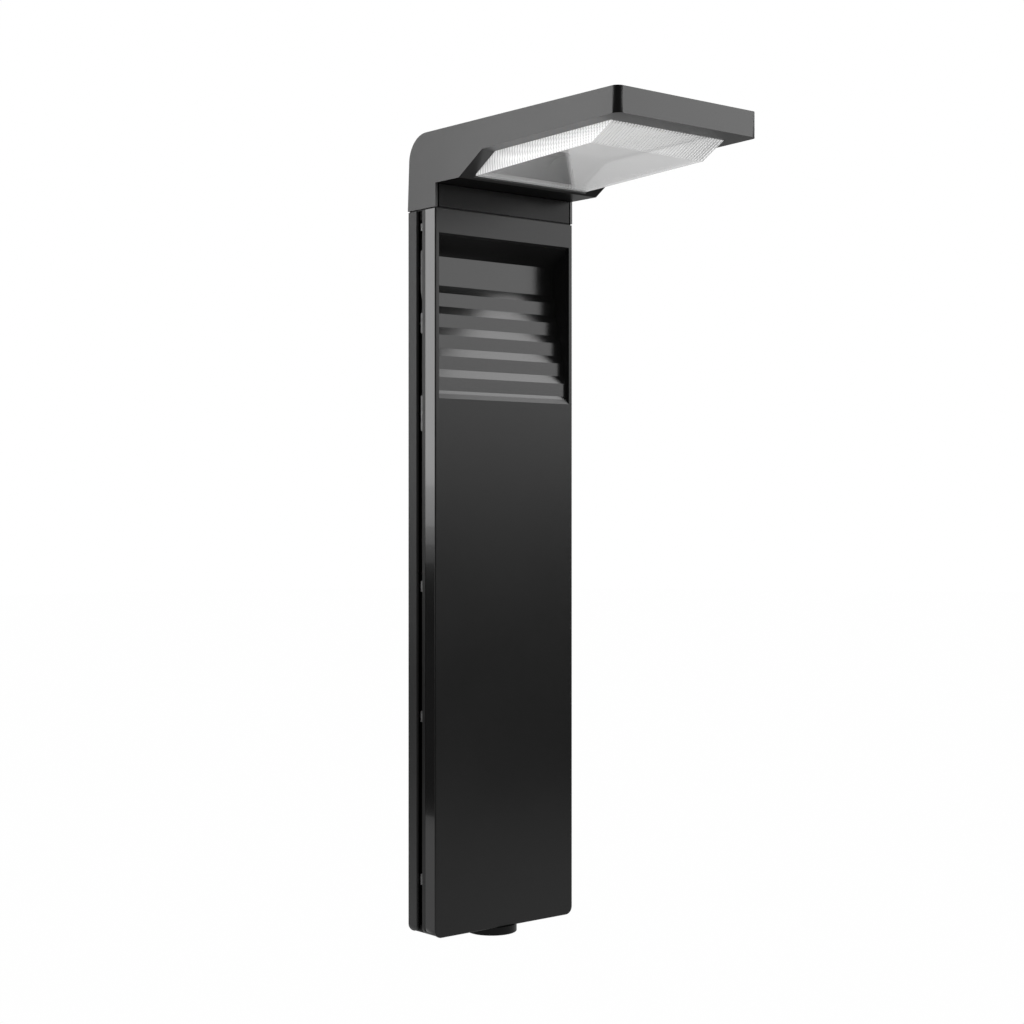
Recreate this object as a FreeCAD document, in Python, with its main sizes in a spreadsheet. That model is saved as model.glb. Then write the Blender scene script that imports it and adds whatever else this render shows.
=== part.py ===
"""Bollard light: a two-shell column on a round hub, with a stepped recess and an overhanging lamp head.

Frame: origin on the hub's axis at the column's foot, +X to the right, -Y the way the head reaches, +Z up.
Every length is in millimetres.
"""
import FreeCAD
import Part
import Sketcher
import math
import os
import re

SIZES = {
    # column
    "column_width": 200,
    "column_depth": 50,
    "column_height": 796,
    "shell_wall": 3,
    "front_shell_depth": 23.6,
    "shadow_gap": 10,
    "shell_lip": 12,
    "lip_thickness": 3,
    "front_edge_radius": 1.2,
    "rear_edge_radius": 2,
    "rear_bevel": 0.8,
    "foot_radius": 9,
    # glossy side strips
    "trim_setback": 1.6,
    "trim_width": 16.9,
    "trim_channel": 1.4,
    "trim_clearance": 0.1,
    "trim_inset": 0.2,
    # stepped recess
    "recess_drop": 26.2,
    "recess_side_lip": 5,
    "ceiling_drop": 21.2,
    "back_plate_height": 32.2,
    "step_count": 6,
    "step_rise": 8.9,
    "step_run": 5,
    "riser_height": 14.8,
    "baffle_wall": 2,
    "baffle_clearance": 0.4,
    "baffle_flange": 11,
    "baffle_flange_margin": 9,
    "stud_pitch": 60,
    "stud_length": 7,
    "pad_low": 73,
    "pad_height": 22,
    "pad_hole_depth": 8,
    "pad_screw_bite": 7,
    # rails, base plate, cap
    "rail_side_gap": 4,
    "rail_width": 14,
    "rail_wall": 2.5,
    "seat_gap": 0.2,
    "base_thickness": 10,
    "plate_clearance": 0.3,
    "base_corner": 7,
    "lug_height": 25,
    "lug_clearance": 0.2,
    "lip_end_gap": 2,
    "joint_gap": 1.5,
    "joint_inset": 1.5,
    "joint_band": 3,
    "joint_opening": 62,
    # hub and its pipe thread
    "hub_radius": 28.3,
    "hub_height": 9,
    "hub_edge_radius": 1,
    "pilot_radius": 19,
    "pilot_clearance": 0.15,
    "thread_minor_radius": 15.15,
    "hub_screw_circle": 23.4,
    "hub_screw_sink": 1.5,
    "hub_screw_end": 8,
    "grommet_radius": 18.5,
    "grommet_height": 4,
    "inlet_radius": 7,
    # spacers between front shell and rails
    "spacer_inset": 1,
    "spacer_width": 10,
    "spacer_height": 12,
    "long_spacer_height": 39,
    "spacer_low": 60,
    "spacer_middle": 239.5,
    "spacer_high": 383,
    "spacer_below_recess": 15.5,
    "spacer_below_cap": 7.5,
    "top_spacer_height": 8,
    # screws
    "small_screw": 1.5,
    "small_head": 2.75,
    "small_head_height": 2,
    "screw": 2,
    "screw_head": 3.5,
    "screw_head_height": 3,
    "flat_head_height": 1.6,
    "rear_screw_low": 50,
    "rear_screw_drop": 60,
    "rear_screw_bite": 5,
    "rail_screw_bite": 7,
    "bolt": 3,
    "bolt_head": 5,
    "bolt_head_height": 6,
    "thread_clearance": 0.1,
    "hole_clearance": 0.25,
    "nut_size": 7,
    "nut_height": 3.2,
    # gear tray and what it carries
    "tray_low": 40,
    "tray_height": 390,
    "tray_side_gap": 15,
    "tray_thickness": 1.5,
    "tray_screw_inset": 2.5,
    "tray_screw_first": 35,
    "tray_screw_second": 210,
    "tray_screw_last": 30,
    "driver_half_width": 40,
    "driver_depth": 23,
    "driver_low": 230,
    "driver_length": 180,
    "driver_tab": 8,
    "driver_tab_half_width": 12,
    "driver_tab_thickness": 2,
    "driver_screw_end": 2,
    "surge_width": 55,
    "surge_left": 15,
    "surge_depth": 21.7,
    "surge_low": 150,
    "surge_height": 55,
    "terminal_left": -70,
    "terminal_width": 60,
    "terminal_depth": 19.7,
    "terminal_low": 80,
    "terminal_height": 25,
    "terminal_pitch": 12,
    "terminal_well": 4,
    "earth_x": 60,
    "earth_z": 92,
    "earth_stud_length": 14,
    "washer_thickness": 1.5,
    # leads
    "lead_radius": 3.2,
    "thin_lead_radius": 2.5,
    "lead_x": -50,
    "lead_standoff": 5.5,
    "lead_bend": 25,
    "thin_lead_bend": 9,
    "head_lead_start": -20,
    "head_lead_rise": 20,
    "head_lead_shift": 60,
    "driver_lead_rise": 45,
    "driver_lead_shift": 12,
    "driver_lead_end": 40,
    "clip_margin": 2.8,
    "clip_height": 10,
    "lead_clearance": 0.2,
    "gland_wall": 1.9,
    "gland_flange": 2.2,
    # lamp head
    "head_reach": 288,
    "head_height": 83,
    "head_wall": 3,
    "head_draft": 3.9,
    "head_rear_radius": 30,
    "nose_height": 27,
    "nose_radius": 7.5,
    "underside_drop": 5.5,
    "bend_reach": 80,
    "shelf_reach": 40.5,
    "neck_height": 25.8,
    "neck_floor": 5,
    "neck_plate_thickness": 3,
    "neck_side_gap": 1.8,
    "neck_edge_gap": 0.5,
    "neck_opening": 60,
    "neck_opening_margin": 7,
    "neck_lug_x": 45,
    "neck_lug_width": 10,
    "neck_lug_height": 11,
    "neck_hole_depth": 1.8,
    "neck_screw_bite": 1.5,
    "boss_radius": 6,
    "boss_height": 18,
    "boss_hole_stop": 2,
    "bolt_stop": 4,
    "head_bolt_x": 70,
    "head_bolt_y": 12,
    # lens, gasket, clamps
    "rim_side": 18,
    "rim_front": 28,
    "rim_rear": 3,
    "rim_wall": 3.5,
    "lens_clearance": 0.6,
    "lens_wall": 3,
    "lens_flange": 8,
    "lens_side_flange": 7,
    "lens_front_run": 30,
    "lens_front_drop": 18.4,
    "lens_rear_drop": 26.9,
    "gasket_thickness": 1.5,
    "clamp_length": 10,
    "clamp_width": 10.5,
    "clamp_thickness": 2,
    "clamp_boss_radius": 3,
    "clamp_boss_root": 1,
    "clamp_screw_inset": 4,
    "clamp_first": 43,
    "clamp_last": -11,
    "clamp_side_gap": 1,
    "clamp_screw_stop": 1,
    # LED gear in the head
    "heat_plate_thickness": 4,
    "heat_plate_side_gap": 5,
    "heat_plate_front_gap": 13,
    "heat_plate_past_bend": 27,
    "heat_screw_inset": 5,
    "heat_screw_first": 28,
    "heat_screw_last": 10,
    "heat_hole_depth": 2.2,
    "heat_screw_bite": 2,
    "board_thickness": 1.6,
    "board_half_width": 75,
    "board_front_gap": 33,
    "board_past_bend": 25,
    "reflector_side_gap": 15,
    "reflector_front_gap": 22,
    "reflector_past_bend": 10,
    "reflector_wall": 1.5,
    "reflector_gap": 0.3,
    "emitter_radius": 2.5,
    "emitter_height": 0.8,
    "emitter_hole_radius": 4,
    "emitter_pitch_x": 40,
    "emitter_first": 51,
    "emitter_last": -7,
    "board_screw_x": 70,
    "board_screw_first": 63,
    "board_screw_last": -21,
    "board_hole_depth": 2.5,
    "board_screw_bite": 2,
    "connector_half_width": 7,
    "connector_length": 10,
    "connector_height": 7,
    "connector_inset": 2,
}

EMITTER_COLUMNS = (-1.5, -0.5, 0.5, 1.5)
EMITTER_ROW_COUNT = 7
TERMINAL_POLES = range(5)
LUG_SCREW_SHARES = (0.28, 0.76)
BOTH_SIDES = (-1, 1)

# Places worked out from the sizes. Each is a formula in the sheet's names.
HALF_WIDTH = "(column_width / 2)"
RECESS_DEPTH = "(step_count * step_run)"
FRONT = "(-column_depth / 2)"
BACK = "(column_depth / 2)"
FRONT_INNER = f"({FRONT} + shell_wall)"
BACK_INNER = f"({BACK} - shell_wall)"
SIDE_INNER = f"({HALF_WIDTH} - shell_wall)"
FRONT_SHELL_BACK = f"({FRONT} + front_shell_depth)"
LIP_FRONT = f"({FRONT_SHELL_BACK} - lip_thickness)"
REAR_SHELL_FRONT = f"({FRONT_SHELL_BACK} + shadow_gap)"
CAP_BOTTOM = "(column_height - base_thickness)"

STEP_PITCH = "(step_rise + riser_height)"
RECESS_TOP = "(column_height - recess_drop)"
RECESS_BACK_TOP = f"({RECESS_TOP} - ceiling_drop)"
RECESS_BACK_FOOT = f"({RECESS_BACK_TOP} - back_plate_height)"
RECESS_FOOT = f"({RECESS_BACK_FOOT} - step_count * {STEP_PITCH} + riser_height)"
RECESS_BACK = f"({FRONT} + {RECESS_DEPTH})"
BAFFLE_BACK = f"({RECESS_BACK} + baffle_wall)"
BAFFLE_FOOT = f"({RECESS_BACK_FOOT} - ({BAFFLE_BACK} - {FRONT_INNER}) * {STEP_PITCH} / step_run)"
BAFFLE_TOP = (
    f"({RECESS_BACK_TOP} + baffle_wall + ({BAFFLE_BACK} - {FRONT_INNER}) * ceiling_drop / {RECESS_DEPTH})"
)

LEAD_Y = f"({BAFFLE_BACK} + lead_standoff)"
RAIL_FRONT = f"({BAFFLE_BACK} + seat_gap)"
RAIL_BACK = f"({BACK_INNER} - seat_gap)"
RAIL_OUTER = f"({SIDE_INNER} - rail_side_gap)"
RAIL_INNER = f"({RAIL_OUTER} - rail_width)"
SPACER_OUTER = f"({SIDE_INNER} - spacer_inset)"
SPACER_INNER = f"({SPACER_OUTER} - spacer_width)"
SPACER_SCREW_X = f"({SPACER_INNER} + screw_head)"
REAR_SCREW_X = f"({RAIL_OUTER} - rail_width / 2)"
TRAY_FRONT = f"({RAIL_FRONT} - tray_thickness)"
TRAY_HALF = f"({HALF_WIDTH} - tray_side_gap)"
LUG_FRONT = f"({RAIL_FRONT} + rail_wall + screw_head_height + lug_clearance)"
LUG_BACK = f"({RAIL_BACK} - rail_wall - lug_clearance)"
LUG_Y = f"(({LUG_FRONT} + {LUG_BACK}) / 2)"

HEAD_BASE = "(column_height + joint_gap)"
HEAD_TOP = f"({HEAD_BASE} + head_height)"
ROOF = f"({HEAD_TOP} - head_wall)"
NOSE = f"({FRONT} - head_reach)"
NOSE_EDGE = f"({HEAD_TOP} - nose_height)"
BEND_Y = f"({FRONT} - bend_reach)"
BEND_Z = f"({NOSE_EDGE} - underside_drop)"
SHELF_Y = f"({FRONT} - shelf_reach)"
SHELF_Z = f"({HEAD_BASE} + neck_height)"
FLOOR_TOP = f"({HEAD_BASE} + neck_floor)"
NECK_PLATE_BACK = f"({FRONT} + neck_plate_thickness)"
NECK_FLOOR_FRONT = f"({NECK_PLATE_BACK} + seat_gap)"

OPENING_HALF = f"({HALF_WIDTH} - rim_side)"
OPENING_FRONT = f"({NOSE} + rim_front)"
OPENING_REAR = f"({SHELF_Y} - rim_rear)"
LENS_HALF = f"({OPENING_HALF} - lens_clearance)"
LENS_FRONT = f"({OPENING_FRONT} + lens_clearance)"
LENS_REAR = f"({OPENING_REAR} - lens_clearance)"
LENS_FLANGE_LIFT = "(rim_wall + gasket_thickness)"
LENS_TOP_LIFT = f"({LENS_FLANGE_LIFT} + lens_wall)"

HEAT_PLATE_LOW = f"({ROOF} - heat_plate_thickness)"
HEAT_PLATE_HALF = f"({HALF_WIDTH} - heat_plate_side_gap)"
BOARD_LOW = f"({HEAT_PLATE_LOW} - board_thickness)"
REFLECTOR_LOW = f"({BOARD_LOW} - reflector_wall)"
BOARD_FRONT = f"({NOSE} + board_front_gap)"
BOARD_REAR = f"({BEND_Y} + board_past_bend)"
REFLECTOR_FRONT = f"({NOSE} + reflector_front_gap)"
REFLECTOR_REAR = f"({BEND_Y} + reflector_past_bend)"
REFLECTOR_HALF = f"({HALF_WIDTH} - reflector_side_gap)"

doc = FreeCAD.newDocument("bollard_light")
sheet = doc.addObject("Spreadsheet::Sheet", "dims")
bodies = []


def fill_sheet():
    for row, (alias, number) in enumerate(SIZES.items(), 1):
        sheet.set(f"A{row}", alias)
        sheet.set(f"B{row}", str(number))
        sheet.setAlias(f"B{row}", alias)
    doc.recompute()


def formula(text):
    """The text as an expression that reads each named size from the sheet."""
    return re.sub(r"[a-z][a-z_]*", lambda word: "dims." + word.group(0), str(text))


def number(text):
    return float(sheet.evalExpression(formula(text)))


# ---------------------------------------------------------------- drawing helpers

PLANES = {"XY": ("XY_Plane", 1), "XZ": ("XZ_Plane", -1), "YZ": ("YZ_Plane", 1)}


def new_body(name):
    body = doc.addObject("PartDesign::Body", name)
    body.Label = name
    body.AllowCompound = True
    bodies.append(body)
    return body


def rectangle(left, right, low, high):
    return [(left, low), (right, low), (right, high), (left, high)]


def mirrored(outline):
    """The same closed outline on the other side of the up axis."""
    return [(f"-({across})", up) for across, up in outline]


def hexagon(across, up, width):
    corners = []
    for corner in range(6):
        turn = math.radians(60 * corner)
        reach = f"{width} / {math.sqrt(3):.6f}"
        corners.append((f"{across} + {math.cos(turn):.6f} * {reach}", f"{up} + {math.sin(turn):.6f} * {reach}"))
    return corners


def bind_point(sketch, geometry, point, at, across, up):
    for kind, start, text in (("DistanceX", at.x, across), ("DistanceY", at.y, up)):
        index = sketch.addConstraint(Sketcher.Constraint(kind, -1, 1, geometry, point, start))
        sketch.setExpression(f"Constraints[{index}]", formula(text))


def draw_outline(sketch, corners):
    """A closed run of straight lines whose corners are bound to formulas."""
    first = sketch.GeometryCount
    count = len(corners)
    turns = [2 * math.pi * corner / count for corner in range(count)]
    starts = [FreeCAD.Vector(100 * math.cos(turn), 100 * math.sin(turn), 0) for turn in turns]
    for corner in range(count):
        sketch.addGeometry(Part.LineSegment(starts[corner], starts[(corner + 1) % count]), False)
    for corner in range(count):
        following = first + (corner + 1) % count
        sketch.addConstraint(Sketcher.Constraint("Coincident", first + corner, 2, following, 1))
    for corner, (across, up) in enumerate(corners):
        bind_point(sketch, first + corner, 1, starts[corner], across, up)


def draw_circle(sketch, across, up, radius):
    centre = FreeCAD.Vector(10, 10, 0)
    index = sketch.addGeometry(Part.Circle(centre, FreeCAD.Vector(0, 0, 1), 5), False)
    bind_point(sketch, index, 3, centre, across, up)
    constraint = sketch.addConstraint(Sketcher.Constraint("Radius", index, 5))
    sketch.setExpression(f"Constraints[{constraint}]", formula(radius))


def new_sketch(body, plane, start, end, outlines, circles):
    role, side = PLANES[plane]
    support = [feature for feature in body.Origin.OriginFeatures if feature.Role == role][0]
    sketch = body.newObject("Sketcher::SketchObject", f"{body.Name}_sketch")
    sketch.AttachmentSupport = [(support, "")]
    sketch.MapMode = "FlatFace"
    offset = start if side > 0 else f"-({end})"
    sketch.setExpression("AttachmentOffset.Base.z", formula(offset))
    for outline in outlines:
        draw_outline(sketch, outline)
    for across, up, radius in circles:
        draw_circle(sketch, across, up, radius)
    return sketch


def prism(body, plane, start, end, outlines=(), circles=()):
    """Adds material between two places along the plane's normal."""
    sketch = new_sketch(body, plane, start, end, outlines, circles)
    pad = body.newObject("PartDesign::Pad", f"{body.Name}_pad")
    pad.Profile = sketch
    pad.setExpression("Length", formula(f"({end}) - ({start})"))
    doc.recompute()


def cut(body, plane, start, end, outlines=(), circles=()):
    """Takes material away between two places along the plane's normal."""
    before = body.Shape.Volume
    sketch = new_sketch(body, plane, start, end, outlines, circles)
    pocket = body.newObject("PartDesign::Pocket", f"{body.Name}_pocket")
    pocket.Profile = sketch
    pocket.Reversed = True
    pocket.setExpression("Length", formula(f"({end}) - ({start})"))
    doc.recompute()
    if not body.Shape.Volume < before:
        raise ValueError(f"{pocket.Name} cut nothing")


def edges_along(body, axis, **places):
    """Names of the straight edges along one axis whose other coordinates match the formulas."""
    wanted = {name: [number(text) for text in texts] for name, texts in places.items()}
    names = []
    for index, edge in enumerate(body.Shape.Edges, 1):
        ends = [vertex.Point for vertex in edge.Vertexes]
        if len(ends) < 2 or edge.Curve.TypeId != "Part::GeomLine":
            continue
        others = [name for name in "xyz" if name != axis]
        if any(abs(getattr(ends[0], name) - getattr(ends[1], name)) > 0.001 for name in others):
            continue
        middle = (ends[0] + ends[1]) / 2
        if all(min(abs(getattr(middle, name) - value) for value in wanted[name]) < 0.01 for name in wanted):
            names.append(f"Edge{index}")
    return names


def dress(body, kind, property_name, size, names):
    """Rounds or bevels the named edges of the body's present shape."""
    if not names:
        raise ValueError(f"{body.Name} has no such edge")
    base = body.Tip
    feature = body.newObject(f"PartDesign::{kind}", f"{body.Name}_{kind.lower()}")
    feature.Base = (base, names)
    feature.setExpression(property_name, formula(size))
    doc.recompute()


def fillet(body, radius, names):
    dress(body, "Fillet", "Radius", radius, names)


def chamfer(body, size, names):
    dress(body, "Chamfer", "Size", size, names)


def screws(name, plane, places, radius, head_radius, head_start, head_end, shank_start, shank_end):
    """A group of like screws: a head and a shank at each place."""
    body = new_body(name)
    add_screws(body, plane, places, radius, head_radius, head_start, head_end, shank_start, shank_end)


def add_screws(body, plane, places, radius, head_radius, head_start, head_end, shank_start, shank_end):
    prism(body, plane, head_start, head_end, circles=[(across, up, head_radius) for across, up in places])
    prism(body, plane, shank_start, shank_end, circles=[(across, up, radius) for across, up in places])


# ---------------------------------------------------------------- shared places

def lamp_rows(first, last, count):
    """Evenly spaced places from a distance behind the nose to a distance behind the bend."""
    run = f"({BEND_Y} + {last} - {NOSE} - {first})"
    return [f"({NOSE} + {first} + {row} * {run} / {count - 1})" for row in range(count)]


def slab_underside(y, lift):
    """Height of the slab's sloping underside at y, raised by lift."""
    slope = "underside_drop / (head_reach - bend_reach)"
    return f"({NOSE_EDGE} - ({y} - {NOSE}) * {slope} + {lift})"


def chamfer_underside(y, lift):
    """Height of the slanted stretch between slab and shelf at y, raised by lift."""
    slope = f"({BEND_Z} - {SHELF_Z}) / (bend_reach - shelf_reach)"
    return f"({BEND_Z} - ({y} - {BEND_Y}) * {slope} + {lift})"


def underside_band(front, rear, low, high):
    """Band that follows slab, slant and shelf between two lifts."""
    lower = [
        (front, slab_underside(front, low)),
        (BEND_Y, f"{BEND_Z} + {low}"),
        (SHELF_Y, f"{SHELF_Z} + {low}"),
        (rear, f"{SHELF_Z} + {low}"),
    ]
    upper = [
        (rear, f"{SHELF_Z} + {high}"),
        (SHELF_Y, f"{SHELF_Z} + {high}"),
        (BEND_Y, f"{BEND_Z} + {high}"),
        (front, slab_underside(front, high)),
    ]
    return lower + upper


def recess_outline():
    """Side view of the open recess: ceiling, back plate, then slanted steps and upright risers."""
    corners = [(f"{FRONT} - step_run", f"{RECESS_FOOT} - step_rise")]
    steps = int(number("step_count"))
    for step in range(steps):
        depth = f"{FRONT} + {step + 1} * step_run"
        foot = f"{RECESS_FOOT} + {step} * {STEP_PITCH}"
        corners.append((depth, f"{foot} + step_rise"))
        if step < steps - 1:
            corners.append((depth, f"{foot} + {STEP_PITCH}"))
    corners.append((RECESS_BACK, RECESS_BACK_TOP))
    corners.append((f"{FRONT} - step_run", f"{RECESS_TOP} + ceiling_drop / step_count"))
    return corners


def baffle_slope_y(z):
    """Place of the baffle's slanted back at height z."""
    return f"({BAFFLE_BACK} - ({RECESS_BACK_FOOT} - ({z})) * step_run / {STEP_PITCH})"


SPACERS = [
    ("spacer_low", "spacer_height"),
    ("spacer_middle", "spacer_height"),
    ("spacer_high", "spacer_height"),
    (f"({RECESS_FOOT} - spacer_below_recess)", "long_spacer_height"),
    (f"({CAP_BOTTOM} - spacer_below_cap)", "top_spacer_height"),
]
SPACER_SCREWS = [(f"{side} * {SPACER_SCREW_X}", z) for side in BOTH_SIDES for z, _ in SPACERS]
PAD_LOW = f"({RECESS_FOOT} + pad_low)"
PAD_HIGH = f"({PAD_LOW} + pad_height)"
PAD_SCREWS = [(f"{side} * {SPACER_SCREW_X}", f"({PAD_LOW} + pad_height / 2)") for side in BOTH_SIDES]
REAR_SCREWS = [
    (f"{side} * {REAR_SCREW_X}", z)
    for side in BOTH_SIDES
    for z in ("rear_screw_low", "column_height / 2", "column_height - rear_screw_drop")
]
TRAY_SCREWS = [
    (f"{side} * ({TRAY_HALF} - tray_screw_inset)", f"tray_low + {z}")
    for side in BOTH_SIDES
    for z in ("tray_screw_first", "tray_screw_second", "tray_height - tray_screw_last")
]
DRIVER_SCREWS = [
    (0, "driver_low - driver_tab / 2"),
    (0, "driver_low + driver_length + driver_tab / 2"),
]
STUDS = [
    (f"{column} * stud_pitch", z)
    for column in (-1, 0, 1)
    for z in (f"{BAFFLE_FOOT} - baffle_flange / 2", f"{BAFFLE_TOP} + baffle_flange / 2")
]
LUG_SCREWS_LOW = [(LUG_Y, f"base_thickness + lug_height * {share}") for share in LUG_SCREW_SHARES]
LUG_SCREWS_HIGH = [(LUG_Y, f"{CAP_BOTTOM} - lug_height * {share}") for share in LUG_SCREW_SHARES]
HEAD_BOLTS = [(f"{side} * head_bolt_x", f"{row} * head_bolt_y") for side in BOTH_SIDES for row in BOTH_SIDES]
HUB_SCREWS = [
    (f"{side} * hub_screw_circle / {math.sqrt(2):.6f}", f"{row} * hub_screw_circle / {math.sqrt(2):.6f}")
    for side in BOTH_SIDES
    for row in BOTH_SIDES
]
CLAMP_ROWS = lamp_rows("clamp_first", "clamp_last", 3)
CLAMP_SCREW_X = f"({HALF_WIDTH} - head_wall - clamp_screw_inset)"
HEAT_SCREWS = [
    (f"{side} * ({HEAT_PLATE_HALF} - heat_screw_inset)", y)
    for side in BOTH_SIDES
    for y in lamp_rows("heat_screw_first", "heat_screw_last", 3)
]
BOARD_SCREWS = [
    (f"{side} * board_screw_x", y)
    for side in BOTH_SIDES
    for y in lamp_rows("board_screw_first", "board_screw_last", 3)
]
EMITTERS = [
    (f"{column} * emitter_pitch_x", y)
    for column in EMITTER_COLUMNS
    for y in lamp_rows("emitter_first", "emitter_last", EMITTER_ROW_COUNT)
]
NECK_LUGS = [(f"{side} * neck_lug_x", f"({FLOOR_TOP} + neck_lug_height / 2)") for side in BOTH_SIDES]


# ---------------------------------------------------------------- column

def front_shell():
    body = new_body("front_shell")
    block = rectangle(f"-{HALF_WIDTH}", HALF_WIDTH, FRONT, FRONT_SHELL_BACK)
    prism(body, "XY", 0, "column_height", [block])
    sides = (f"-{HALF_WIDTH}", HALF_WIDTH)
    fillet(body, "foot_radius", edges_along(body, "y", x=sides, z=("0",)))
    fillet(body, "front_edge_radius", edges_along(body, "z", x=sides, y=(FRONT,)))
    lip_end = f"({SIDE_INNER} - shell_lip)"
    hollow = [
        (f"-{SIDE_INNER}", FRONT_INNER),
        (SIDE_INNER, FRONT_INNER),
        (SIDE_INNER, LIP_FRONT),
        (lip_end, LIP_FRONT),
        (lip_end, f"{FRONT_SHELL_BACK} + 1"),
        (f"-{lip_end}", f"{FRONT_SHELL_BACK} + 1"),
        (f"-{lip_end}", LIP_FRONT),
        (f"-{SIDE_INNER}", LIP_FRONT),
    ]
    cut(body, "XY", -1, "column_height + 1", [hollow])
    channel = rectangle(
        f"{HALF_WIDTH} - trim_channel",
        f"{HALF_WIDTH} + 1",
        f"{FRONT} + trim_setback",
        f"{FRONT} + trim_setback + trim_width",
    )
    cut(body, "XY", -1, "column_height + 1", [channel, mirrored(channel)])
    window = f"({HALF_WIDTH} - recess_side_lip)"
    cut(body, "YZ", f"-{window}", window, [recess_outline()])
    notch_foot = f"{RECESS_BACK_FOOT} - ({BAFFLE_BACK} - {LIP_FRONT}) * {STEP_PITCH} / step_run - lip_end_gap"
    notches = [
        rectangle(f"{LIP_FRONT} - 1", f"{FRONT_SHELL_BACK} + 1", -1, "base_thickness + lip_end_gap"),
        rectangle(f"{LIP_FRONT} - 1", f"{FRONT_SHELL_BACK} + 1", notch_foot, f"{BAFFLE_TOP} + lip_end_gap"),
        rectangle(f"{LIP_FRONT} - 1", f"{FRONT_SHELL_BACK} + 1", f"{CAP_BOTTOM} - 1", "column_height + 1"),
    ]
    cut(body, "YZ", f"-{SIDE_INNER}", SIDE_INNER, notches)
    holes = [(x, z, "screw + thread_clearance") for x, z in SPACER_SCREWS]
    cut(body, "XZ", f"{LIP_FRONT} - 1", f"{FRONT_SHELL_BACK} + 1", circles=holes)
    studs = [(x, z, "screw") for x, z in STUDS]
    prism(body, "XZ", FRONT_INNER, f"{FRONT_INNER} + stud_length", circles=studs)


def side_trim(name, side):
    """Glossy strip in the front shell's side channel, with the shell's foot radius."""
    body = new_body(name)
    outer = f"{side} * ({HALF_WIDTH} - trim_inset)"
    inner = f"{side} * ({HALF_WIDTH} - trim_channel + trim_clearance)"
    core = f"{side} * ({HALF_WIDTH} - 2 * foot_radius)"
    front = f"{FRONT} + trim_setback + trim_clearance"
    back = f"{FRONT} + trim_setback + trim_width - trim_clearance"
    prism(body, "XY", 0, "column_height", [rectangle(core, outer, front, back)])
    fillet(body, "foot_radius", edges_along(body, "y", x=(outer,), z=("0",)))
    waste = rectangle(f"{core} - {side}", inner, f"{front} - 1", f"{back} + 1")
    cut(body, "XY", -1, "column_height + 1", [waste])


def rear_shell():
    body = new_body("rear_shell")
    block = rectangle(f"-{HALF_WIDTH}", HALF_WIDTH, REAR_SHELL_FRONT, BACK)
    prism(body, "XY", 0, "column_height", [block])
    sides = (f"-{HALF_WIDTH}", HALF_WIDTH)
    fillet(body, "foot_radius", edges_along(body, "y", x=sides, z=("0",)))
    fillet(body, "rear_edge_radius", edges_along(body, "z", x=sides, y=(BACK,)))
    chamfer(body, "rear_bevel", edges_along(body, "z", x=sides, y=(REAR_SHELL_FRONT,)))
    hollow = rectangle(f"-{SIDE_INNER}", SIDE_INNER, f"{REAR_SHELL_FRONT} - 1", BACK_INNER)
    cut(body, "XY", -1, "column_height + 1", [hollow])
    holes = [(x, z, "screw + hole_clearance") for x, z in REAR_SCREWS]
    cut(body, "XZ", f"{BACK_INNER} - 1", f"{BACK} + 1", circles=holes)
    wells = [(x, z, "screw_head + hole_clearance") for x, z in REAR_SCREWS]
    cut(body, "XZ", f"{BACK} - flat_head_height", f"{BACK} + 1", circles=wells)


def recess_baffle():
    body = new_body("recess_baffle")
    half = f"({SIDE_INNER} - baffle_clearance)"
    block = [(FRONT_INNER, BAFFLE_FOOT), (BAFFLE_BACK, RECESS_BACK_FOOT)]
    block += [(BAFFLE_BACK, f"{RECESS_BACK_TOP} + baffle_wall"), (FRONT_INNER, BAFFLE_TOP)]
    prism(body, "YZ", f"-{half}", half, [block])
    flange_half = f"({HALF_WIDTH} - shell_wall - baffle_flange_margin)"
    flange = rectangle(
        f"-{flange_half}", flange_half, f"{BAFFLE_FOOT} - baffle_flange", f"{BAFFLE_TOP} + baffle_flange"
    )
    prism(body, "XZ", FRONT_INNER, f"{FRONT_INNER} + baffle_wall", [flange])
    window = f"({HALF_WIDTH} - recess_side_lip)"
    cut(body, "YZ", f"-{window}", window, [recess_outline()])
    holes = [(x, z, "screw + hole_clearance") for x, z in STUDS]
    cut(body, "XZ", f"{FRONT_INNER} - 1", f"{FRONT_INNER} + baffle_wall + 1", circles=holes)


def baffle_nuts():
    body = new_body("baffle_nuts")
    seat = f"({FRONT_INNER} + baffle_wall)"
    nuts = [hexagon(x, z, "nut_size") for x, z in STUDS]
    bores = [(x, z, "screw + thread_clearance") for x, z in STUDS]
    prism(body, "XZ", seat, f"{seat} + nut_height", nuts, bores)


def baffle_pads():
    """Pads that tie the baffle's slanted back to the rails."""
    body = new_body("baffle_pads")
    outline = [
        (f"{baffle_slope_y(PAD_LOW)} + seat_gap", PAD_LOW),
        (f"{baffle_slope_y(PAD_HIGH)} + seat_gap", PAD_HIGH),
        (RAIL_FRONT, PAD_HIGH),
        (RAIL_FRONT, PAD_LOW),
    ]
    prism(body, "YZ", SPACER_INNER, SPACER_OUTER, [outline])
    prism(body, "YZ", f"-{SPACER_OUTER}", f"-{SPACER_INNER}", [outline])
    holes = [(x, z, "screw + thread_clearance") for x, z in PAD_SCREWS]
    cut(body, "XZ", f"{RAIL_FRONT} - pad_hole_depth", f"{RAIL_FRONT} + 1", circles=holes)
    head = f"({RAIL_FRONT} + rail_wall)"
    screws(
        "pad_screws", "XZ", PAD_SCREWS, "screw", "screw_head",
        head, f"{head} + screw_head_height", f"{RAIL_FRONT} - pad_screw_bite", head,
    )


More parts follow.
